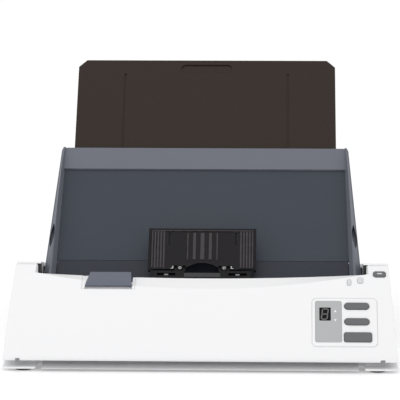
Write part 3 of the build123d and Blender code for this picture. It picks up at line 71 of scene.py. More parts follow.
# Guide flap
FLAP_FACE_N = 0.0106
FLAP_RIB_N = 0.0115
SLOT_X = 0.0272
SLOT_S = 0.1093
SLOT_N = 0.0092
SLOT_LENGTH = 0.0118
SLOT_WIDTH = 0.0020
SLOT_DEPTH = 0.0008
RING_X = 0.0180
RING_S = 0.0820
RING_N = 0.0110
RING_RADIUS = 0.0012
RING_BORE = 0.6
RING_DEPTH = 0.0004
MARK_X = 0.0238
MARK_S = 0.0824
MARK_HALF = 0.0004
MARK_LOW = -0.0012
MARK_HIGH = 0.0013
MARK_FOOT_X = 0.0016
MARK_FOOT_TOP = -0.0005
MARK_HEIGHT = 0.0003
RAIL_X = 0.04298
RAIL_S = 0.0990
RAIL_N = 0.0119
RAIL_HALF = 0.00105
RAIL_LOW = -0.0195
RAIL_HIGH = 0.0192
RAIL_HEIGHT = 0.0003
HEAD_S = 0.11775
HEAD_HALF_X = 0.0425
HEAD_HALF = 0.0007
HEAD_HEIGHT = 0.0011

# Bracket below the flap
CLIP_X = 0.0290
CLIP_S = 0.07525
CLIP_N = 0.0090
CLIP_HALF_X = 0.0017
CLIP_HALF = 0.0007
CLIP_HEIGHT = 0.0028
BAR_FROM_X = -0.0145
BAR_TO_X = 0.0150
BAR_PROFILE = [(0.0722, 0.0122), (0.0722, 0.0132), (0.0764, 0.0126), (0.0764, 0.0116)]

# Latch pocket, with its profiles as (s, n) on the feed path
POCKET_LEFT_X = -0.0962
POCKET_RIGHT_X = -0.0536
CHEEK_RIGHT_X = -0.0557
CHEEK_LEFT_X = -0.0890
LATCH_FRONT = (-0.0938, 0.0590)
LATCH_BACK = (-0.0902, 0.0746)
SILL_PROFILE = [(0.0545, 0.0176), (0.0602, 0.0176), (0.0602, 0.01875), (0.0545, 0.01875)]
RIGHT_CHEEK_PROFILE = [
    (0.05635, 0.0193), (0.05635, 0.0213), (0.0592, 0.0212),
    (0.0711, 0.01395), (0.0700, 0.0129), (0.0590, 0.0193),
]
LEFT_CHEEK_PROFILE = [
    (0.05635, 0.0193), (0.05635, 0.0213), (0.0641, 0.0210),
    (0.0723, 0.0140), (0.0714, 0.0131), (0.0630, 0.0193),
]

# Digit and triangles of the display
DIGIT_SPAN = 0.0046
DIGIT_BAR_WIDTH = 0.0009
DIGIT_BAR_GAP = 0.0003
DIGIT_LEAN = 0.12
DIGIT_SHIFT_X = -0.0002
DIGIT_HEIGHT = 0.00012
ARROW_FROM_WINDOW = 0.0036
ARROW_UP_S = 0.0370
ARROW_DOWN_S = 0.0288
ARROW_HALF = 0.0011
ARROW_FOOT = 0.0009
ARROW_TIP = 0.0012
ARROW_HEIGHT = 0.00010

# Light of the power button
LIGHT_HALF = 0.0014
LIGHT_RADIUS = 0.0007
LIGHT_HEIGHT = 0.00015

# Studio
WORLD_STRENGTH = 0.93
FLOOR_HALF = 8
FLOOR_TONE = 0.93
FLOOR_GLOW = 0.14

# Camera
VIEW_AZIMUTH = radians(1.67)
VIEW_ELEVATION = radians(11.5)
VIEW_DISTANCE = 1.9
VIEW_TARGET = Vector((0, 0.040 + SHIFT_Y, 0.060))
FOCAL_PIXELS = 2364.1
PICTURE_PIXELS = 400
TARGET_PIXEL = (201.0, 290.0)
SENSOR_WIDTH = 36.0


def on_path(x, s, n):
    """Point of the feed path: x across, s up the slope and n out of it."""
    return PATH_ORIGIN + Vector((x, 0, 0)) + ALONG * s + OUT * n


def path_frame(x, s, n):
    """Frame that stands on the feed path, with its Z out of the slope."""
    turned = Matrix((Vector((1, 0, 0)), ALONG, OUT)).transposed().to_4x4()
    return Matrix.Translation(on_path(x, s, n)) @ turned


# Camera and light

def add_camera():
    """Camera that sees the object as in the picture."""
    back = Vector((
        sin(VIEW_AZIMUTH) * cos(VIEW_ELEVATION),
        -cos(VIEW_AZIMUTH) * cos(VIEW_ELEVATION),
        sin(VIEW_ELEVATION),
    ))
    right = Vector((cos(VIEW_AZIMUTH), sin(VIEW_AZIMUTH), 0))
    up = back.cross(right)
    centre = PICTURE_PIXELS / 2
    ahead = (
        -back
        + right * (centre - TARGET_PIXEL[0]) / FOCAL_PIXELS
        + up * (TARGET_PIXEL[1] - centre) / FOCAL_PIXELS
    )
    lens = bpy.data.cameras.new("camera")
    lens.sensor_width = SENSOR_WIDTH
    lens.lens = FOCAL_PIXELS / PICTURE_PIXELS * SENSOR_WIDTH
    lens.clip_end = 20
    camera = bpy.data.objects.new("camera", lens)
    camera.location = VIEW_TARGET + back * VIEW_DISTANCE
    camera.rotation_euler = ahead.to_track_quat("-Z", "Y").to_euler()
    bpy.context.scene.collection.objects.link(camera)
    bpy.context.scene.camera = camera


def add_light(name, place, aim, width, height, power):
    """Soft box at a place, turned to a point."""
    lamp = bpy.data.lights.new(name, "AREA")
    lamp.shape = "RECTANGLE"
    lamp.size = width
    lamp.size_y = height
    lamp.energy = power
    light = bpy.data.objects.new(name, lamp)
    light.location = place
    light.rotation_euler = (Vector(aim) - Vector(place)).to_track_quat("-Z", "Y").to_euler()
    bpy.context.scene.collection.objects.link(light)


def light_studio():
    """Even white light from all round, with two weak soft boxes."""
    world = bpy.data.worlds.new("studio")
    world.use_nodes = True
    background = world.node_tree.nodes["Background"]
    background.inputs["Color"].default_value = (1, 1, 1, 1)
    background.inputs["Strength"].default_value = WORLD_STRENGTH
    bpy.context.scene.world = world
    bpy.context.scene.view_settings.view_transform = "Standard"
    add_light("overhead_softbox", (-0.15, -0.25, 1.3), (0, 0, 0.05), 1.2, 0.9, 1.7)
    add_light("left_softbox", (-1.2, -0.7, 0.7), (0, 0, 0.08), 0.8, 0.9, 0.8)


def add_floor():
    """Pale floor that glows a little, so that it shows white."""
    mesh = bpy.data.meshes.new("floor")
    bm = bmesh.new()
    bmesh.ops.create_grid(bm, x_segments=1, y_segments=1, size=FLOOR_HALF)
    bm.to_mesh(mesh)
    bm.free()
    floor = bpy.data.objects.new("floor", mesh)
    bpy.context.scene.collection.objects.link(floor)
    material = bpy.data.materials.new("pale_floor")
    material.use_nodes = True
    shader = material.node_tree.nodes["Principled BSDF"]
    shader.inputs["Base Color"].default_value = (FLOOR_TONE, FLOOR_TONE, FLOOR_TONE, 1)
    shader.inputs["Roughness"].default_value = 0.9
    shader.inputs["Specular IOR Level"].default_value = 0.1
    shader.inputs["Emission Color"].default_value = (1, 1, 1, 1)
    shader.inputs["Emission Strength"].default_value = FLOOR_GLOW
    mesh.materials.append(material)


# Shader groups

def new_group(name, inputs, outputs):
    """Empty group with named inputs, each with its value, and named outputs."""
    tree = bpy.data.node_groups.new(name, "ShaderNodeTree")
    for title, value in inputs:
        socket = tree.interface.new_socket(title, in_out="INPUT", socket_type="NodeSocketFloat")
        socket.default_value = value
    for title, kind in outputs:
        tree.interface.new_socket(title, in_out="OUTPUT", socket_type=kind)
    return tree, tree.nodes.new("NodeGroupInput"), tree.nodes.new("NodeGroupOutput")


def add_node(tree, kind, values=(), **settings):
    """Shader node with its settings and the values of its sockets."""
    node = tree.nodes.new("ShaderNode" + kind)
    for key, value in settings.items():
        setattr(node, key, value)
    for socket, value in dict(values).items():
        node.inputs[socket].default_value = value
    return node


def mould_grain_group():
    """Fine stipple of a spark-eroded mould, with a slow drift in gloss."""
    tree, given, result = new_group(
        "mould_grain",
        [("Scale", 900.0), ("Depth", 0.1), ("Smoothest", 0.35), ("Roughest", 0.5), ("Edge Radius", 0.0004)],
        [("Roughness", "NodeSocketFloat"), ("Normal", "NodeSocketVector"), ("Tone", "NodeSocketFloat")],
    )
    link = tree.links.new
    place = add_node(tree, "TexCoord")
    fine = add_node(tree, "TexNoise", {"Detail": 3.0, "Roughness": 0.6})
    broad = add_node(tree, "TexNoise", {"Scale": 14.0, "Detail": 4.0, "Roughness": 0.55})
    spread = add_node(tree, "MapRange", {"From Min": 0.3, "From Max": 0.7})
    mixed = add_node(tree, "Math", operation="MULTIPLY_ADD")
    mixed.inputs[1].default_value = 0.25
    edge = add_node(tree, "Bevel", samples=4)
    bump = add_node(tree, "Bump", {"Distance": 0.0002})
    link(place.outputs["Object"], fine.inputs["Vector"])
    link(place.outputs["Object"], broad.inputs["Vector"])
    link(given.outputs["Scale"], fine.inputs["Scale"])
    link(fine.outputs["Fac"], mixed.inputs[0])
    link(broad.outputs["Fac"], mixed.inputs[2])
    link(mixed.outputs["Value"], spread.inputs["Value"])
    link(given.outputs["Smoothest"], spread.inputs["To Min"])
    link(given.outputs["Roughest"], spread.inputs["To Max"])
    link(given.outputs["Edge Radius"], edge.inputs["Radius"])
    link(edge.outputs["Normal"], bump.inputs["Normal"])
    link(fine.outputs["Fac"], bump.inputs["Height"])
    link(given.outputs["Depth"], bump.inputs["Strength"])
    link(spread.outputs["Result"], result.inputs["Roughness"])
    link(bump.outputs["Normal"], result.inputs["Normal"])
    link(broad.outputs["Fac"], result.inputs["Tone"])
    return tree


def edge_wear_and_light_group():
    """Mask of the outer edges, broken up by a noise; it marks rubbed wear, and in some finishes painted edge
    highlights and painted rim shade.
    """
    tree, given, result = new_group(
        "edge_wear_and_light_mask",
        [("Radius", 0.0008), ("Amount", 0.5)],
        [("Mask", "NodeSocketFloat")],
    )
    link = tree.links.new
    place = add_node(tree, "TexCoord")
    face = add_node(tree, "NewGeometry")
    edge = add_node(tree, "Bevel", samples=4)
    near = add_node(tree, "VectorMath", operation="DOT_PRODUCT")
    turn = add_node(tree, "MapRange", {"From Min": 0.995, "From Max": 0.8, "To Min": 0.0, "To Max": 1.0})
    patches = add_node(tree, "TexNoise", {"Scale": 160.0, "Detail": 4.0})
    broken = add_node(tree, "MapRange", {"From Min": 0.35, "From Max": 0.7})
    both = add_node(tree, "Math", operation="MULTIPLY")
    kept = add_node(tree, "Math", operation="MULTIPLY", use_clamp=True)
    link(place.outputs["Object"], patches.inputs["Vector"])
    link(given.outputs["Radius"], edge.inputs["Radius"])
    link(face.outputs["Normal"], near.inputs[0])
    link(edge.outputs["Normal"], near.inputs[1])
    link(near.outputs["Value"], turn.inputs["Value"])
    link(patches.outputs["Fac"], broken.inputs["Value"])
    link(turn.outputs["Result"], both.inputs[0])
    link(broken.outputs["Result"], both.inputs[1])
    link(both.outputs["Value"], kept.inputs[0])
    link(given.outputs["Amount"], kept.inputs[1])
    link(kept.outputs["Value"], result.inputs["Mask"])
    return tree


def settled_dust_group():
    """Mask of the faint dust that lies on faces that look up."""
    tree, given, result = new_group(
        "settled_dust",
        [("Amount", 0.3)],
        [("Mask", "NodeSocketFloat")],
    )
    link = tree.links.new
    place = add_node(tree, "TexCoord")
    face = add_node(tree, "NewGeometry")
    parts = add_node(tree, "SeparateXYZ")
    level = add_node(tree, "MapRange", {"From Min": 0.3, "From Max": 1.0})
    specks = add_node(tree, "TexNoise", {"Scale": 420.0, "Detail": 5.0, "Roughness": 0.7})
    clouds = add_node(tree, "TexNoise", {"Scale": 22.0, "Detail": 3.0})
    lit = add_node(tree, "MapRange", {"From Min": 0.5, "From Max": 0.75})
    first = add_node(tree, "Math", operation="MULTIPLY")
    second = add_node(tree, "Math", operation="MULTIPLY")
    third = add_node(tree, "Math", operation="MULTIPLY", use_clamp=True)
    link(place.outputs["Object"], specks.inputs["Vector"])
    link(place.outputs["Object"], clouds.inputs["Vector"])
    link(face.outputs["Normal"], parts.inputs["Vector"])
    link(parts.outputs["Z"], level.inputs["Value"])
    link(specks.outputs["Fac"], lit.inputs["Value"])
    link(level.outputs["Result"], first.inputs[0])
    link(lit.outputs["Result"], first.inputs[1])
    link(first.outputs["Value"], second.inputs[0])
    link(clouds.outputs["Fac"], second.inputs[1])
    link(second.outputs["Value"], third.inputs[0])
    link(given.outputs["Amount"], third.inputs[1])
    link(third.outputs["Value"], result.inputs["Mask"])
    return tree


GRAIN = mould_grain_group()
EDGE_WEAR_AND_LIGHT = edge_wear_and_light_group()
DUST = settled_dust_group()


# Materials

def start_material(name, **values):
    """Material with its Principled shader, and plain values for that shader's sockets."""
    material = bpy.data.materials.new(name)
    material.use_nodes = True
    tree = material.node_tree
    shader = tree.nodes["Principled BSDF"]
    for socket, value in values.items():
        shader.inputs[socket.replace("_", " ")].default_value = value
    return material, tree, shader


def place_group(tree, group, **values):
    """Copy of a group in a material, with values for its sockets."""
    node = tree.nodes.new("ShaderNodeGroup")
    node.node_tree = group
    for socket, value in values.items():
        node.inputs[socket.replace("_", " ")].default_value = value
    return node


def tinted(tree, mask, low, high):
    """Colour between two, by a mask socket."""
    mix = add_node(tree, "Mix", data_type="RGBA")
    mix.inputs["A"].default_value = (*low, 1)
    mix.inputs["B"].default_value = (*high, 1)
    tree.links.new(mask, mix.inputs["Factor"])
    return mix.outputs["Result"]


def layered(tree, mask, under, over):
    """Colour socket with a plain colour over it, by a mask socket."""
    mix = add_node(tree, "Mix", data_type="RGBA")
    mix.inputs["B"].default_value = (*over, 1)
    tree.links.new(mask, mix.inputs["Factor"])
    tree.links.new(under, mix.inputs["A"])
    return mix.outputs["Result"]


def scaled(colour, factor):
    """Colour made lighter or darker by a factor."""
    return tuple(min(1.0, part * factor) for part in colour)


def step(tree, value, start, stop):
    """Mask that goes from 0 to 1 while a value goes from one number to another."""
    ramp = add_node(tree, "MapRange", {"From Min": start, "From Max": stop})
    tree.links.new(value, ramp.inputs["Value"])
    return ramp.outputs["Result"]


def combined(tree, operation, first, second):
    """One mask made of two, by their product or the larger of both."""
    result = add_node(tree, "Math", operation=operation)
    tree.links.new(first, result.inputs[0])
    tree.links.new(second, result.inputs[1])
    return result.outputs["Value"]


def distance_along(tree, axis):
    """Distance along an axis, from the frame's origin."""
    place = add_node(tree, "TexCoord")
    reach = add_node(tree, "VectorMath", operation="DOT_PRODUCT")
    reach.inputs[1].default_value = axis
    tree.links.new(place.outputs["Object"], reach.inputs[0])
    return reach.outputs["Value"]


def distance_from_middle(tree):
    """Distance to either side of the plane that halves the object."""
    side = add_node(tree, "Math", operation="ABSOLUTE")
    tree.links.new(distance_along(tree, Vector((1, 0, 0))), side.inputs[0])
    return side.outputs["Value"]


def rising(tree, axis, start, stop):
    """Mask that goes from 0 to 1 along an axis, between two distances from the feed path's origin."""
    offset = PATH_ORIGIN.dot(axis)
    return step(tree, distance_along(tree, axis), start + offset, stop + offset)


def outside_tray_floor(tree):
    """Mask of the tray's walls and of the band across its top, which are paler than its floor."""
    tapered = add_node(tree, "Math", operation="MULTIPLY_ADD")
    tapered.inputs[1].default_value = TRAY_TAPER
    tree.links.new(distance_along(tree, ALONG), tapered.inputs[0])
    tree.links.new(distance_from_middle(tree), tapered.inputs[2])
    limit = TRAY_INNER_HALF + TRAY_TAPER * (TRAY_LOW_S + PATH_ORIGIN.dot(ALONG))
    walls = step(tree, tapered.outputs["Value"], limit - 0.0002, limit)
    band = rising(tree, ALONG, TRAY_BAND_S - 0.0002, TRAY_BAND_S)
    return combined(tree, "MAXIMUM", walls, band)


def flap_ribs(tree):
    """Mask of the flap's ribs: higher than its leaf, lower than its side frames."""
    above = rising(tree, OUT, FLAP_FACE_N + 0.0002, FLAP_FACE_N + 0.0005)
    below = rising(tree, -OUT, -FLAP_RIB_N - 0.0003, -FLAP_RIB_N - 0.0001)
    return combined(tree, "MULTIPLY", above, below)


def painted_throat_shade(tree):
    """Mask of the rear casing's front corners beside the tray, which lie in deep shade; the white case is
    painted near black there as painted shade.
    """
    ahead = Vector((0, 1, 0))
    down = Vector((0, 0, -1))
    mask = step(tree, distance_from_middle(tree), THROAT_HALF, THROAT_HALF - 0.0002)
    for limit in (
        rising(tree, ahead, THROAT_FROM_Y - 0.0003, THROAT_FROM_Y),
        rising(tree, -ahead, -THROAT_TO_Y, -THROAT_TO_Y + 0.0005),
        rising(tree, down, -THROAT_TOP_Z, -THROAT_TOP_Z + 0.0002),
    ):
        mask = combined(tree, "MULTIPLY", mask, limit)
    return mask


def painted_exit_light(tree):
    """Mask of what lies low in the exit slot, painted pale there as painted light that lifts the slot's
    shade.
    """
    return rising(tree, Vector((0, 0, -1)), -EXIT_TOP_Z, EXIT_FADE - EXIT_TOP_Z)


def moulded(name, colour, smooth, rough, grain=900.0, depth=0.1, edge=0.0004,
            drift=0.06, wear=0.4, dust=0.2, dust_colour=(0.55, 0.54, 0.52),
            worn=None, zone=None, zone_colour=None, **values):
    """Moulded plastic: stippled skin, drifting tone, a zone of another colour where given, edges recoloured
    as rubbed wear and as painted edge highlight and shade, and a little dust.
    """
    material, tree, shader = start_material(name, **values)
    skin = place_group(
        tree, GRAIN, Scale=grain, Depth=depth, Smoothest=smooth, Roughest=rough, Edge_Radius=edge
    )
    edges_worn_and_lit = place_group(tree, EDGE_WEAR_AND_LIGHT, Radius=2 * edge, Amount=wear)
    dusty = place_group(tree, DUST, Amount=dust)
    base = tinted(tree, skin.outputs["Tone"], scaled(colour, 1 - drift), scaled(colour, 1 + drift))
    # Zone colour: painted shade in the white case's throat corners, painted light low in the exit slot, and
    # paler tray walls and flap ribs.
    if zone:
        base = layered(tree, zone(tree), base, zone_colour)
    # Edge colour: rubbed wear, and in some finishes painted edge highlights and painted rim shade.
    edged = layered(tree, edges_worn_and_lit.outputs["Mask"], base, worn or scaled(colour, 1.35))
    final = layered(tree, dusty.outputs["Mask"], edged, dust_colour)
    link = tree.links.new
    link(final, shader.inputs["Base Color"])
    link(skin.outputs["Roughness"], shader.inputs["Roughness"])
    link(skin.outputs["Normal"], shader.inputs["Normal"])
    return material


def brushed(name, colour, stretch, smooth, rough):
    """Drawn or ground metal, with fine streaks along one axis."""
    material, tree, shader = start_material(name, Metallic=1.0)
    link = tree.links.new
    place = add_node(tree, "TexCoord")
    turned = add_node(tree, "Mapping")
    turned.inputs["Scale"].default_value = stretch
    streaks = add_node(tree, "TexNoise", {"Scale": 1.0, "Detail": 5.0, "Roughness": 0.65})
    gloss = add_node(tree, "MapRange", {"From Min": 0.3, "From Max": 0.7, "To Min": smooth, "To Max": rough})
    edge = add_node(tree, "Bevel", {"Radius": 0.0002}, samples=4)
    bump = add_node(tree, "Bump", {"Strength": 0.12, "Distance": 0.0001})
    base = tinted(tree, streaks.outputs["Fac"], scaled(colour, 0.86), scaled(colour, 1.1))
    link(place.outputs["Object"], turned.inputs["Vector"])
    link(turned.outputs["Vector"], streaks.inputs["Vector"])
    link(streaks.outputs["Fac"], gloss.inputs["Value"])
    link(gloss.outputs["Result"], shader.inputs["Roughness"])
    link(edge.outputs["Normal"], bump.inputs["Normal"])
    link(streaks.outputs["Fac"], bump.inputs["Height"])
    link(bump.outputs["Normal"], shader.inputs["Normal"])
    link(base, shader.inputs["Base Color"])
    return material


FINISHES = {
    # White case: its zone paints the rear casing's corners beside the tray near black, a painted shade.
    "white_case": dict(
        colour=(0.88, 0.88, 0.89), smooth=0.33, rough=0.46, grain=1100, depth=0.05, edge=0.0006,
        drift=0.012, wear=0.25, dust=0.05, dust_colour=(0.72, 0.71, 0.69),
        zone=painted_throat_shade, zone_colour=(0.004, 0.004, 0.005),
    ),
    "latch_grey": dict(
        colour=(0.120, 0.135, 0.175), smooth=0.38, rough=0.5, depth=0.12, wear=0.6, dust=0.05,
        worn=(0.22, 0.24, 0.29), Specular_IOR_Level=0.4,
    ),
    # Buttons: their edges are painted darker, a painted shade round the rims that leaves the centres
    # lighter.
    "button_grey": dict(
        colour=(0.135, 0.137, 0.145), smooth=0.3, rough=0.42, depth=0.08, edge=0.0002, wear=3.0,
        dust=0.04, worn=(0.045, 0.045, 0.048), Specular_IOR_Level=0.3,
    ),
    "plate_grey": dict(
        colour=(0.43, 0.44, 0.445), smooth=0.3, rough=0.36, grain=2600, depth=0.03, edge=0.0001,
        drift=0.02, wear=0.1, dust=0.05,
    ),
    # Tray: its pale edge colour is partly wear and partly a painted highlight on the wall ridges.
    "tray_grey": dict(
        colour=(0.040, 0.049, 0.066), smooth=0.42, rough=0.58, grain=1300, depth=0.16, wear=0.5,
        dust=0.04, worn=(0.20, 0.21, 0.24), zone=outside_tray_floor,
        zone_colour=(0.140, 0.150, 0.178), Specular_IOR_Level=0.3,
    ),
    "black_plastic": dict(
        colour=(0.006, 0.006, 0.007), smooth=0.36, rough=0.5, wear=0.3, dust=0.02,
        worn=(0.04, 0.04, 0.04), Specular_IOR_Level=0.15,
    ),
    # Path plate: its zone paints the low part of the exit slot pale, painted light that lifts the slot's
    # shade.
    "path_grey": dict(
        colour=(0.023, 0.027, 0.040), smooth=0.32, rough=0.44, grain=1800, depth=0.05, wear=0.3,
        dust=0.04, zone=painted_exit_light, zone_colour=(0.70, 0.70, 0.71), Specular_IOR_Level=0.3,
    ),
    "smoky_plastic": dict(
        colour=(0.022, 0.012, 0.008), smooth=0.2, rough=0.3, grain=400, depth=0.02, dust=0.02,
        worn=(0.07, 0.05, 0.04), Specular_IOR_Level=0.2,
    ),
    # Flap: its pale edge colour is partly wear and partly a painted highlight along the ribs.
    "flap_plastic": dict(
        colour=(0.006, 0.0045, 0.006), smooth=0.2, rough=0.3, grain=400, depth=0.02, edge=0.0003,
        wear=1.6, dust=0.01, worn=(0.075, 0.07, 0.075), zone=flap_ribs,
        zone_colour=(0.050, 0.045, 0.049), Specular_IOR_Level=0.18,
    ),
    "window_black": dict(
        colour=(0.003, 0.003, 0.004), smooth=0.1, rough=0.15, grain=300, depth=0.01, edge=0.0001,
        wear=0.05, dust=0.0, Specular_IOR_Level=0.1,
    ),
    # Light guide: its edges are painted darker.
    "led_clear": dict(
        colour=(0.66, 0.67, 0.69), smooth=0.3, rough=0.4, grain=1500, edge=0.0002, wear=3.0,
        dust=0.0, worn=(0.22, 0.22, 0.23),
    ),
    "rubber": dict(
        colour=(0.020, 0.020, 0.020), smooth=0.7, rough=0.85, grain=1500, depth=0.3, wear=0.1,
        dust=0.4,
    ),
    "roller_rubber": dict(
        colour=(0.075, 0.075, 0.08), smooth=0.65, rough=0.8, grain=2400, depth=0.4, wear=0.2,
    ),
    "gear_plastic": dict(
        colour=(0.72, 0.70, 0.64), smooth=0.35, rough=0.45, depth=0.06, wear=0.1, dust=0.1,
    ),
    "glass": dict(
        colour=(0.55, 0.62, 0.62), smooth=0.04, rough=0.08, grain=300, depth=0.01, edge=0.0001,
        wear=0.05, Coat_Weight=0.6,
    ),
    "board_green": dict(
        colour=(0.012, 0.085, 0.030), smooth=0.25, rough=0.4, grain=1800, depth=0.12, wear=0.2,
        dust=0.1,
    ),
    "digit_bars": dict(
        colour=(0.13, 0.13, 0.13), smooth=0.2, rough=0.3, grain=2600, depth=0.02, edge=0.00005,
        wear=0.05,
    ),
    "slot_lining": dict(
        colour=(0.012, 0.011, 0.013), smooth=0.4, rough=0.5, edge=0.0002, wear=0.2, dust=0.0,
        Specular_IOR_Level=0.1,
    ),
    "pale_mark": dict(
        colour=(0.50, 0.50, 0.50), smooth=0.35, rough=0.45, grain=2600, depth=0.03, edge=0.00005,
        wear=0.1, dust=0.0,
    ),
    "pale_clip": dict(
        colour=(0.20, 0.20, 0.21), smooth=0.35, rough=0.45, grain=2600, depth=0.03, edge=0.0001,
        wear=0.2, dust=0.0,
    ),
    "bar_grey": dict(
        colour=(0.046, 0.046, 0.048), smooth=0.4, rough=0.5, edge=0.0002, wear=1.0, dust=0.0,
        Specular_IOR_Level=0.2,
    ),
    "white_ink": dict(
        colour=(0.86, 0.86, 0.86), smooth=0.35, rough=0.45, grain=3000, depth=0.04, edge=0.00005,
        wear=0.05,
    ),
}


def make_materials():
    """The finishes of the record's material slots and of the added pieces."""
    made = {name: moulded(name, **finish) for name, finish in FINISHES.items()}
    made["steel"] = brushed("steel", (0.58, 0.58, 0.59), (40, 2600, 2600), 0.22, 0.42)
    made["sheet_steel"] = brushed("sheet_steel", (0.50, 0.51, 0.52), (2200, 2200, 60), 0.28, 0.5)
    return made


def paint_nodes():
    """Gives each CAD node the finish of its slot."""
    for part in frame["record"]["subparts"]:
        mesh = NODES[part["node"]].data
        mesh.materials.clear()
        mesh.materials.append(MATERIALS[part["material_slot"]])


# Making of pieces

def finish_piece(name, bm, body, finish):
    """Turns a bmesh that is already in place into a piece that rides on a body."""
    bmesh.ops.recalc_face_normals(bm, faces=bm.faces)
    mesh = bpy.data.meshes.new(name)
    bm.to_mesh(mesh)
    bm.free()
    mesh.materials.append(MATERIALS[finish])
    piece = bpy.data.objects.new(name, mesh)
    bpy.context.scene.collection.objects.link(piece)
    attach(piece, body)


def join_into(bm, part):
    """Adds a finished bmesh to another and frees it."""
    held = bpy.data.meshes.new("held")
    part.to_mesh(held)
    part.free()
    bm.from_mesh(held)
    bpy.data.meshes.remove(held)


def face_height(node, axis, origin):
    """How far a node reaches from a point along an axis."""
    return max((corner.co - origin).dot(axis) for corner in NODES[node].data.vertices)


def raised(bm, faces, offset):
    """Extrudes faces by an offset and returns the new vertices."""
    grown = bmesh.ops.extrude_face_region(bm, geom=faces)["geom"]
    moved = [item for item in grown if isinstance(item, bmesh.types.BMVert)]
    bmesh.ops.translate(bm, verts=moved, vec=offset)
    return moved


def raised_outline(bm, corners, height, bevel):
    """Flat outline in the local XY plane, raised along Z with a bevelled top edge."""
    ring = [bm.verts.new((x, y, 0)) for x, y in corners]
    top = raised(bm, [bm.faces.new(ring)], (0, 0, height))
    rim = [edge for edge in bm.edges if edge.verts[0] in top and edge.verts[1] in top]
    bmesh.ops.bevel(
        bm, geom=rim, offset=bevel, segments=2, profile=0.5, affect="EDGES", material=-1
    )


def slab_across(bm, profile, from_x, to_x):
    """Straight bar along X, from its (s, n) profile on the feed path."""
    ring = [bm.verts.new(on_path(from_x, s, n)) for s, n in profile]
    raised(bm, [bm.faces.new(ring)], (to_x - from_x, 0, 0))


def plate_on_path(corners, height, bevel, x, s, n):
    """Small raised plate that lies on the feed path's plane at a place."""
    part = bmesh.new()
    raised_outline(part, corners, height, bevel)
    bmesh.ops.transform(part, matrix=path_frame(x, s, n), verts=part.verts)
    return part


def rectangle(from_x, to_x, from_y, to_y):
    """Corners of an upright rectangle."""
    return [(from_x, from_y), (to_x, from_y), (to_x, to_y), (from_x, to_y)]


def pill_corners(length, width, steps=8):
    """Outline of a pill that stands along Y."""
    radius = width / 2
    reach = length / 2 - radius
    turns = [pi * k / steps for k in range(steps + 1)]
    end = [(radius * cos(turn), reach + radius * sin(turn)) for turn in turns]
    return end + [(-x, -y) for x, y in end]


def segment_corners(length, width):
    """Outline of one bar of a seven-segment digit, lying along X."""
    half, tip = length / 2, width / 2
    upper = [(half, 0), (half - tip, tip), (tip - half, tip)]
    return [(-half, 0), (tip - half, -tip), (half - tip, -tip)] + upper


# Pieces

def add_digit():
    """Seven bars on the display window, which lean a little."""
    half = DIGIT_SPAN / 2
    level = [(0, row * DIGIT_SPAN, 0) for row in (1, 0, -1)]
    upright = [(side * half, row * half, 90) for row in (1, -1) for side in (-1, 1)]
    bm = bmesh.new()
    for x, y, turn in level + upright:
        bar = bmesh.new()
        outline = segment_corners(DIGIT_SPAN - DIGIT_BAR_GAP, DIGIT_BAR_WIDTH)
        raised_outline(bar, outline, DIGIT_HEIGHT, DIGIT_HEIGHT / 3)
        place = Matrix.Translation((x, y, 0)) @ Matrix.Rotation(radians(turn), 4, "Z")
        bmesh.ops.transform(bar, matrix=place, verts=bar.verts)
        join_into(bm, bar)
    lean = Matrix(((1, DIGIT_LEAN, 0, 0), (0, 1, 0, 0), (0, 0, 1, 0), (0, 0, 0, 1)))
    low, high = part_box("display_window")
    middle = (low + high) / 2
    top = face_height("display_window", OUT, PATH_ORIGIN)
    s = (middle - PATH_ORIGIN).dot(ALONG)
    place = path_frame(middle.x + DIGIT_SHIFT_X, s, top)
    bmesh.ops.transform(bm, matrix=place @ lean, verts=bm.verts)
    finish_piece("display_digit", bm, "cover", "digit_bars")


def add_arrows():
    """The two raised triangles beside the window, one up and one down."""
    top = face_height("display_plate", OUT, PATH_ORIGIN)
    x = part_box("display_window")[1].x + ARROW_FROM_WINDOW
    bm = bmesh.new()
    for s, way in ((ARROW_UP_S, 1), (ARROW_DOWN_S, -1)):
        foot = -ARROW_FOOT * way
        corners = [(-ARROW_HALF, foot), (ARROW_HALF, foot), (0, ARROW_TIP * way)]
        join_into(bm, plate_on_path(corners, ARROW_HEIGHT, 0.3 * ARROW_HEIGHT, x, s, top))
    finish_piece("select_arrows", bm, "cover", "white_ink")


def add_power_light():
    """The pale light guide in the middle of the power button."""
    low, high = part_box("power_button")
    middle = (low + high) / 2
    normal = Vector((0, -sin(POWER_SLOPE), cos(POWER_SLOPE)))
    ahead = Vector((0, cos(POWER_SLOPE), sin(POWER_SLOPE)))
    bm = bmesh.new()
    bmesh.ops.create_circle(bm, cap_ends=True, segments=24, radius=LIGHT_RADIUS)
    for vert in bm.verts:
        vert.co.x += LIGHT_HALF if vert.co.x > 0 else -LIGHT_HALF
    raised(bm, list(bm.faces), (0, 0, LIGHT_HEIGHT))
    turned = Matrix((Vector((1, 0, 0)), ahead, normal)).transposed().to_4x4()
    top = middle + normal * face_height("power_button", normal, middle)
    bmesh.ops.transform(bm, matrix=Matrix.Translation(top) @ turned, verts=bm.verts)
    finish_piece("power_light", bm, "power", "led_clear")


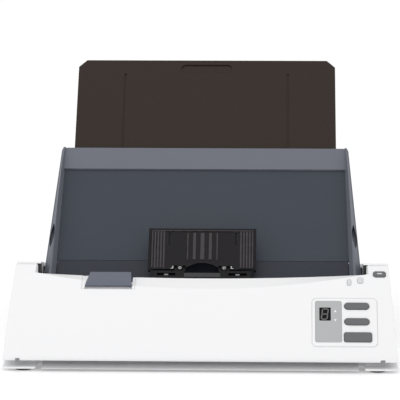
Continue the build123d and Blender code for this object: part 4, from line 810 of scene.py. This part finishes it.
def add_latch_surround():
    """White cheeks and sill that close the cover's pocket round the release latch."""
    bm = bmesh.new()
    slab_across(bm, RIGHT_CHEEK_PROFILE, CHEEK_RIGHT_X, POCKET_RIGHT_X)
    slab_across(bm, SILL_PROFILE, POCKET_LEFT_X, POCKET_RIGHT_X)
    left = bmesh.new()
    slab_across(left, LEFT_CHEEK_PROFILE, POCKET_LEFT_X, CHEEK_LEFT_X)
    front = on_path(*LATCH_FRONT, 0)
    slant = (on_path(*LATCH_BACK, 0) - front).cross(OUT)
    bmesh.ops.bisect_plane(
        left, geom=left.verts[:] + left.edges[:] + left.faces[:],
        plane_co=front, plane_no=slant, clear_outer=True,
    )
    bmesh.ops.holes_fill(left, edges=left.edges[:])
    join_into(bm, left)
    finish_piece("latch_surround", bm, "cover", "white_case")


def add_slot_linings():
    """Dark bottoms of the flap's two upright slots."""
    bm = bmesh.new()
    outline = pill_corners(SLOT_LENGTH, SLOT_WIDTH)
    for side in (-1, 1):
        join_into(bm, plate_on_path(outline, SLOT_DEPTH, 0.0001, side * SLOT_X, SLOT_S, SLOT_N))
    finish_piece("flap_slot_linings", bm, "flap", "slot_lining")


def pin_ring(x):
    """Flat ring round one of the flap's pins."""
    ring = bmesh.new()
    bmesh.ops.create_circle(ring, segments=28, radius=RING_RADIUS)
    grown = bmesh.ops.extrude_edge_only(ring, edges=ring.edges[:])["geom"]
    inner = [item for item in grown if isinstance(item, bmesh.types.BMVert)]
    bmesh.ops.scale(ring, vec=(RING_BORE, RING_BORE, 1), verts=inner)
    bmesh.ops.solidify(ring, geom=ring.faces[:], thickness=RING_DEPTH)
    bmesh.ops.transform(ring, matrix=path_frame(x, RING_S, RING_N), verts=ring.verts)
    return ring


def add_flap_marks():
    """Pin rings and corner marks at the foot of the flap."""
    bm = bmesh.new()
    post = rectangle(-MARK_HALF, MARK_HALF, MARK_LOW, MARK_HIGH)
    foot = rectangle(-MARK_HALF, MARK_FOOT_X, MARK_LOW, MARK_FOOT_TOP)
    for side in (-1, 1):
        join_into(bm, pin_ring(side * RING_X))
        for corners in (post, foot):
            placed = [(side * x, y) for x, y in corners]
            plate = plate_on_path(placed, MARK_HEIGHT, 0.00005, side * MARK_X, MARK_S, FLAP_FACE_N)
            join_into(bm, plate)
    finish_piece("flap_marks", bm, "flap", "pale_mark")


def add_flap_frame():
    """Dark caps on the flap's side frames and a dark border along its head."""
    bm = bmesh.new()
    rail = rectangle(-RAIL_HALF, RAIL_HALF, RAIL_LOW, RAIL_HIGH)
    for side in (-1, 1):
        join_into(bm, plate_on_path(rail, RAIL_HEIGHT, 0.0001, side * RAIL_X, RAIL_S, RAIL_N))
    head = rectangle(-HEAD_HALF_X, HEAD_HALF_X, -HEAD_HALF, HEAD_HALF)
    join_into(bm, plate_on_path(head, HEAD_HEIGHT, 0.0002, 0, HEAD_S, FLAP_FACE_N))
    finish_piece("flap_frame", bm, "flap", "slot_lining")


def add_bracket_details():
    """Pale clips in the bracket's windows and the grey bar between them."""
    bm = bmesh.new()
    block = rectangle(-CLIP_HALF_X, CLIP_HALF_X, -CLIP_HALF, CLIP_HALF)
    for side in (-1, 1):
        join_into(bm, plate_on_path(block, CLIP_HEIGHT, 0.0002, side * CLIP_X, CLIP_S, CLIP_N))
    finish_piece("bracket_clips", bm, "cover", "pale_clip")
    bm = bmesh.new()
    slab_across(bm, BAR_PROFILE, BAR_FROM_X, BAR_TO_X)
    finish_piece("bracket_bar", bm, "cover", "bar_grey")


add_camera()
light_studio()
add_floor()
MATERIALS = make_materials()
paint_nodes()
add_digit()
add_arrows()
add_power_light()
add_latch_surround()
add_slot_linings()
add_flap_marks()
add_flap_frame()
add_bracket_details()
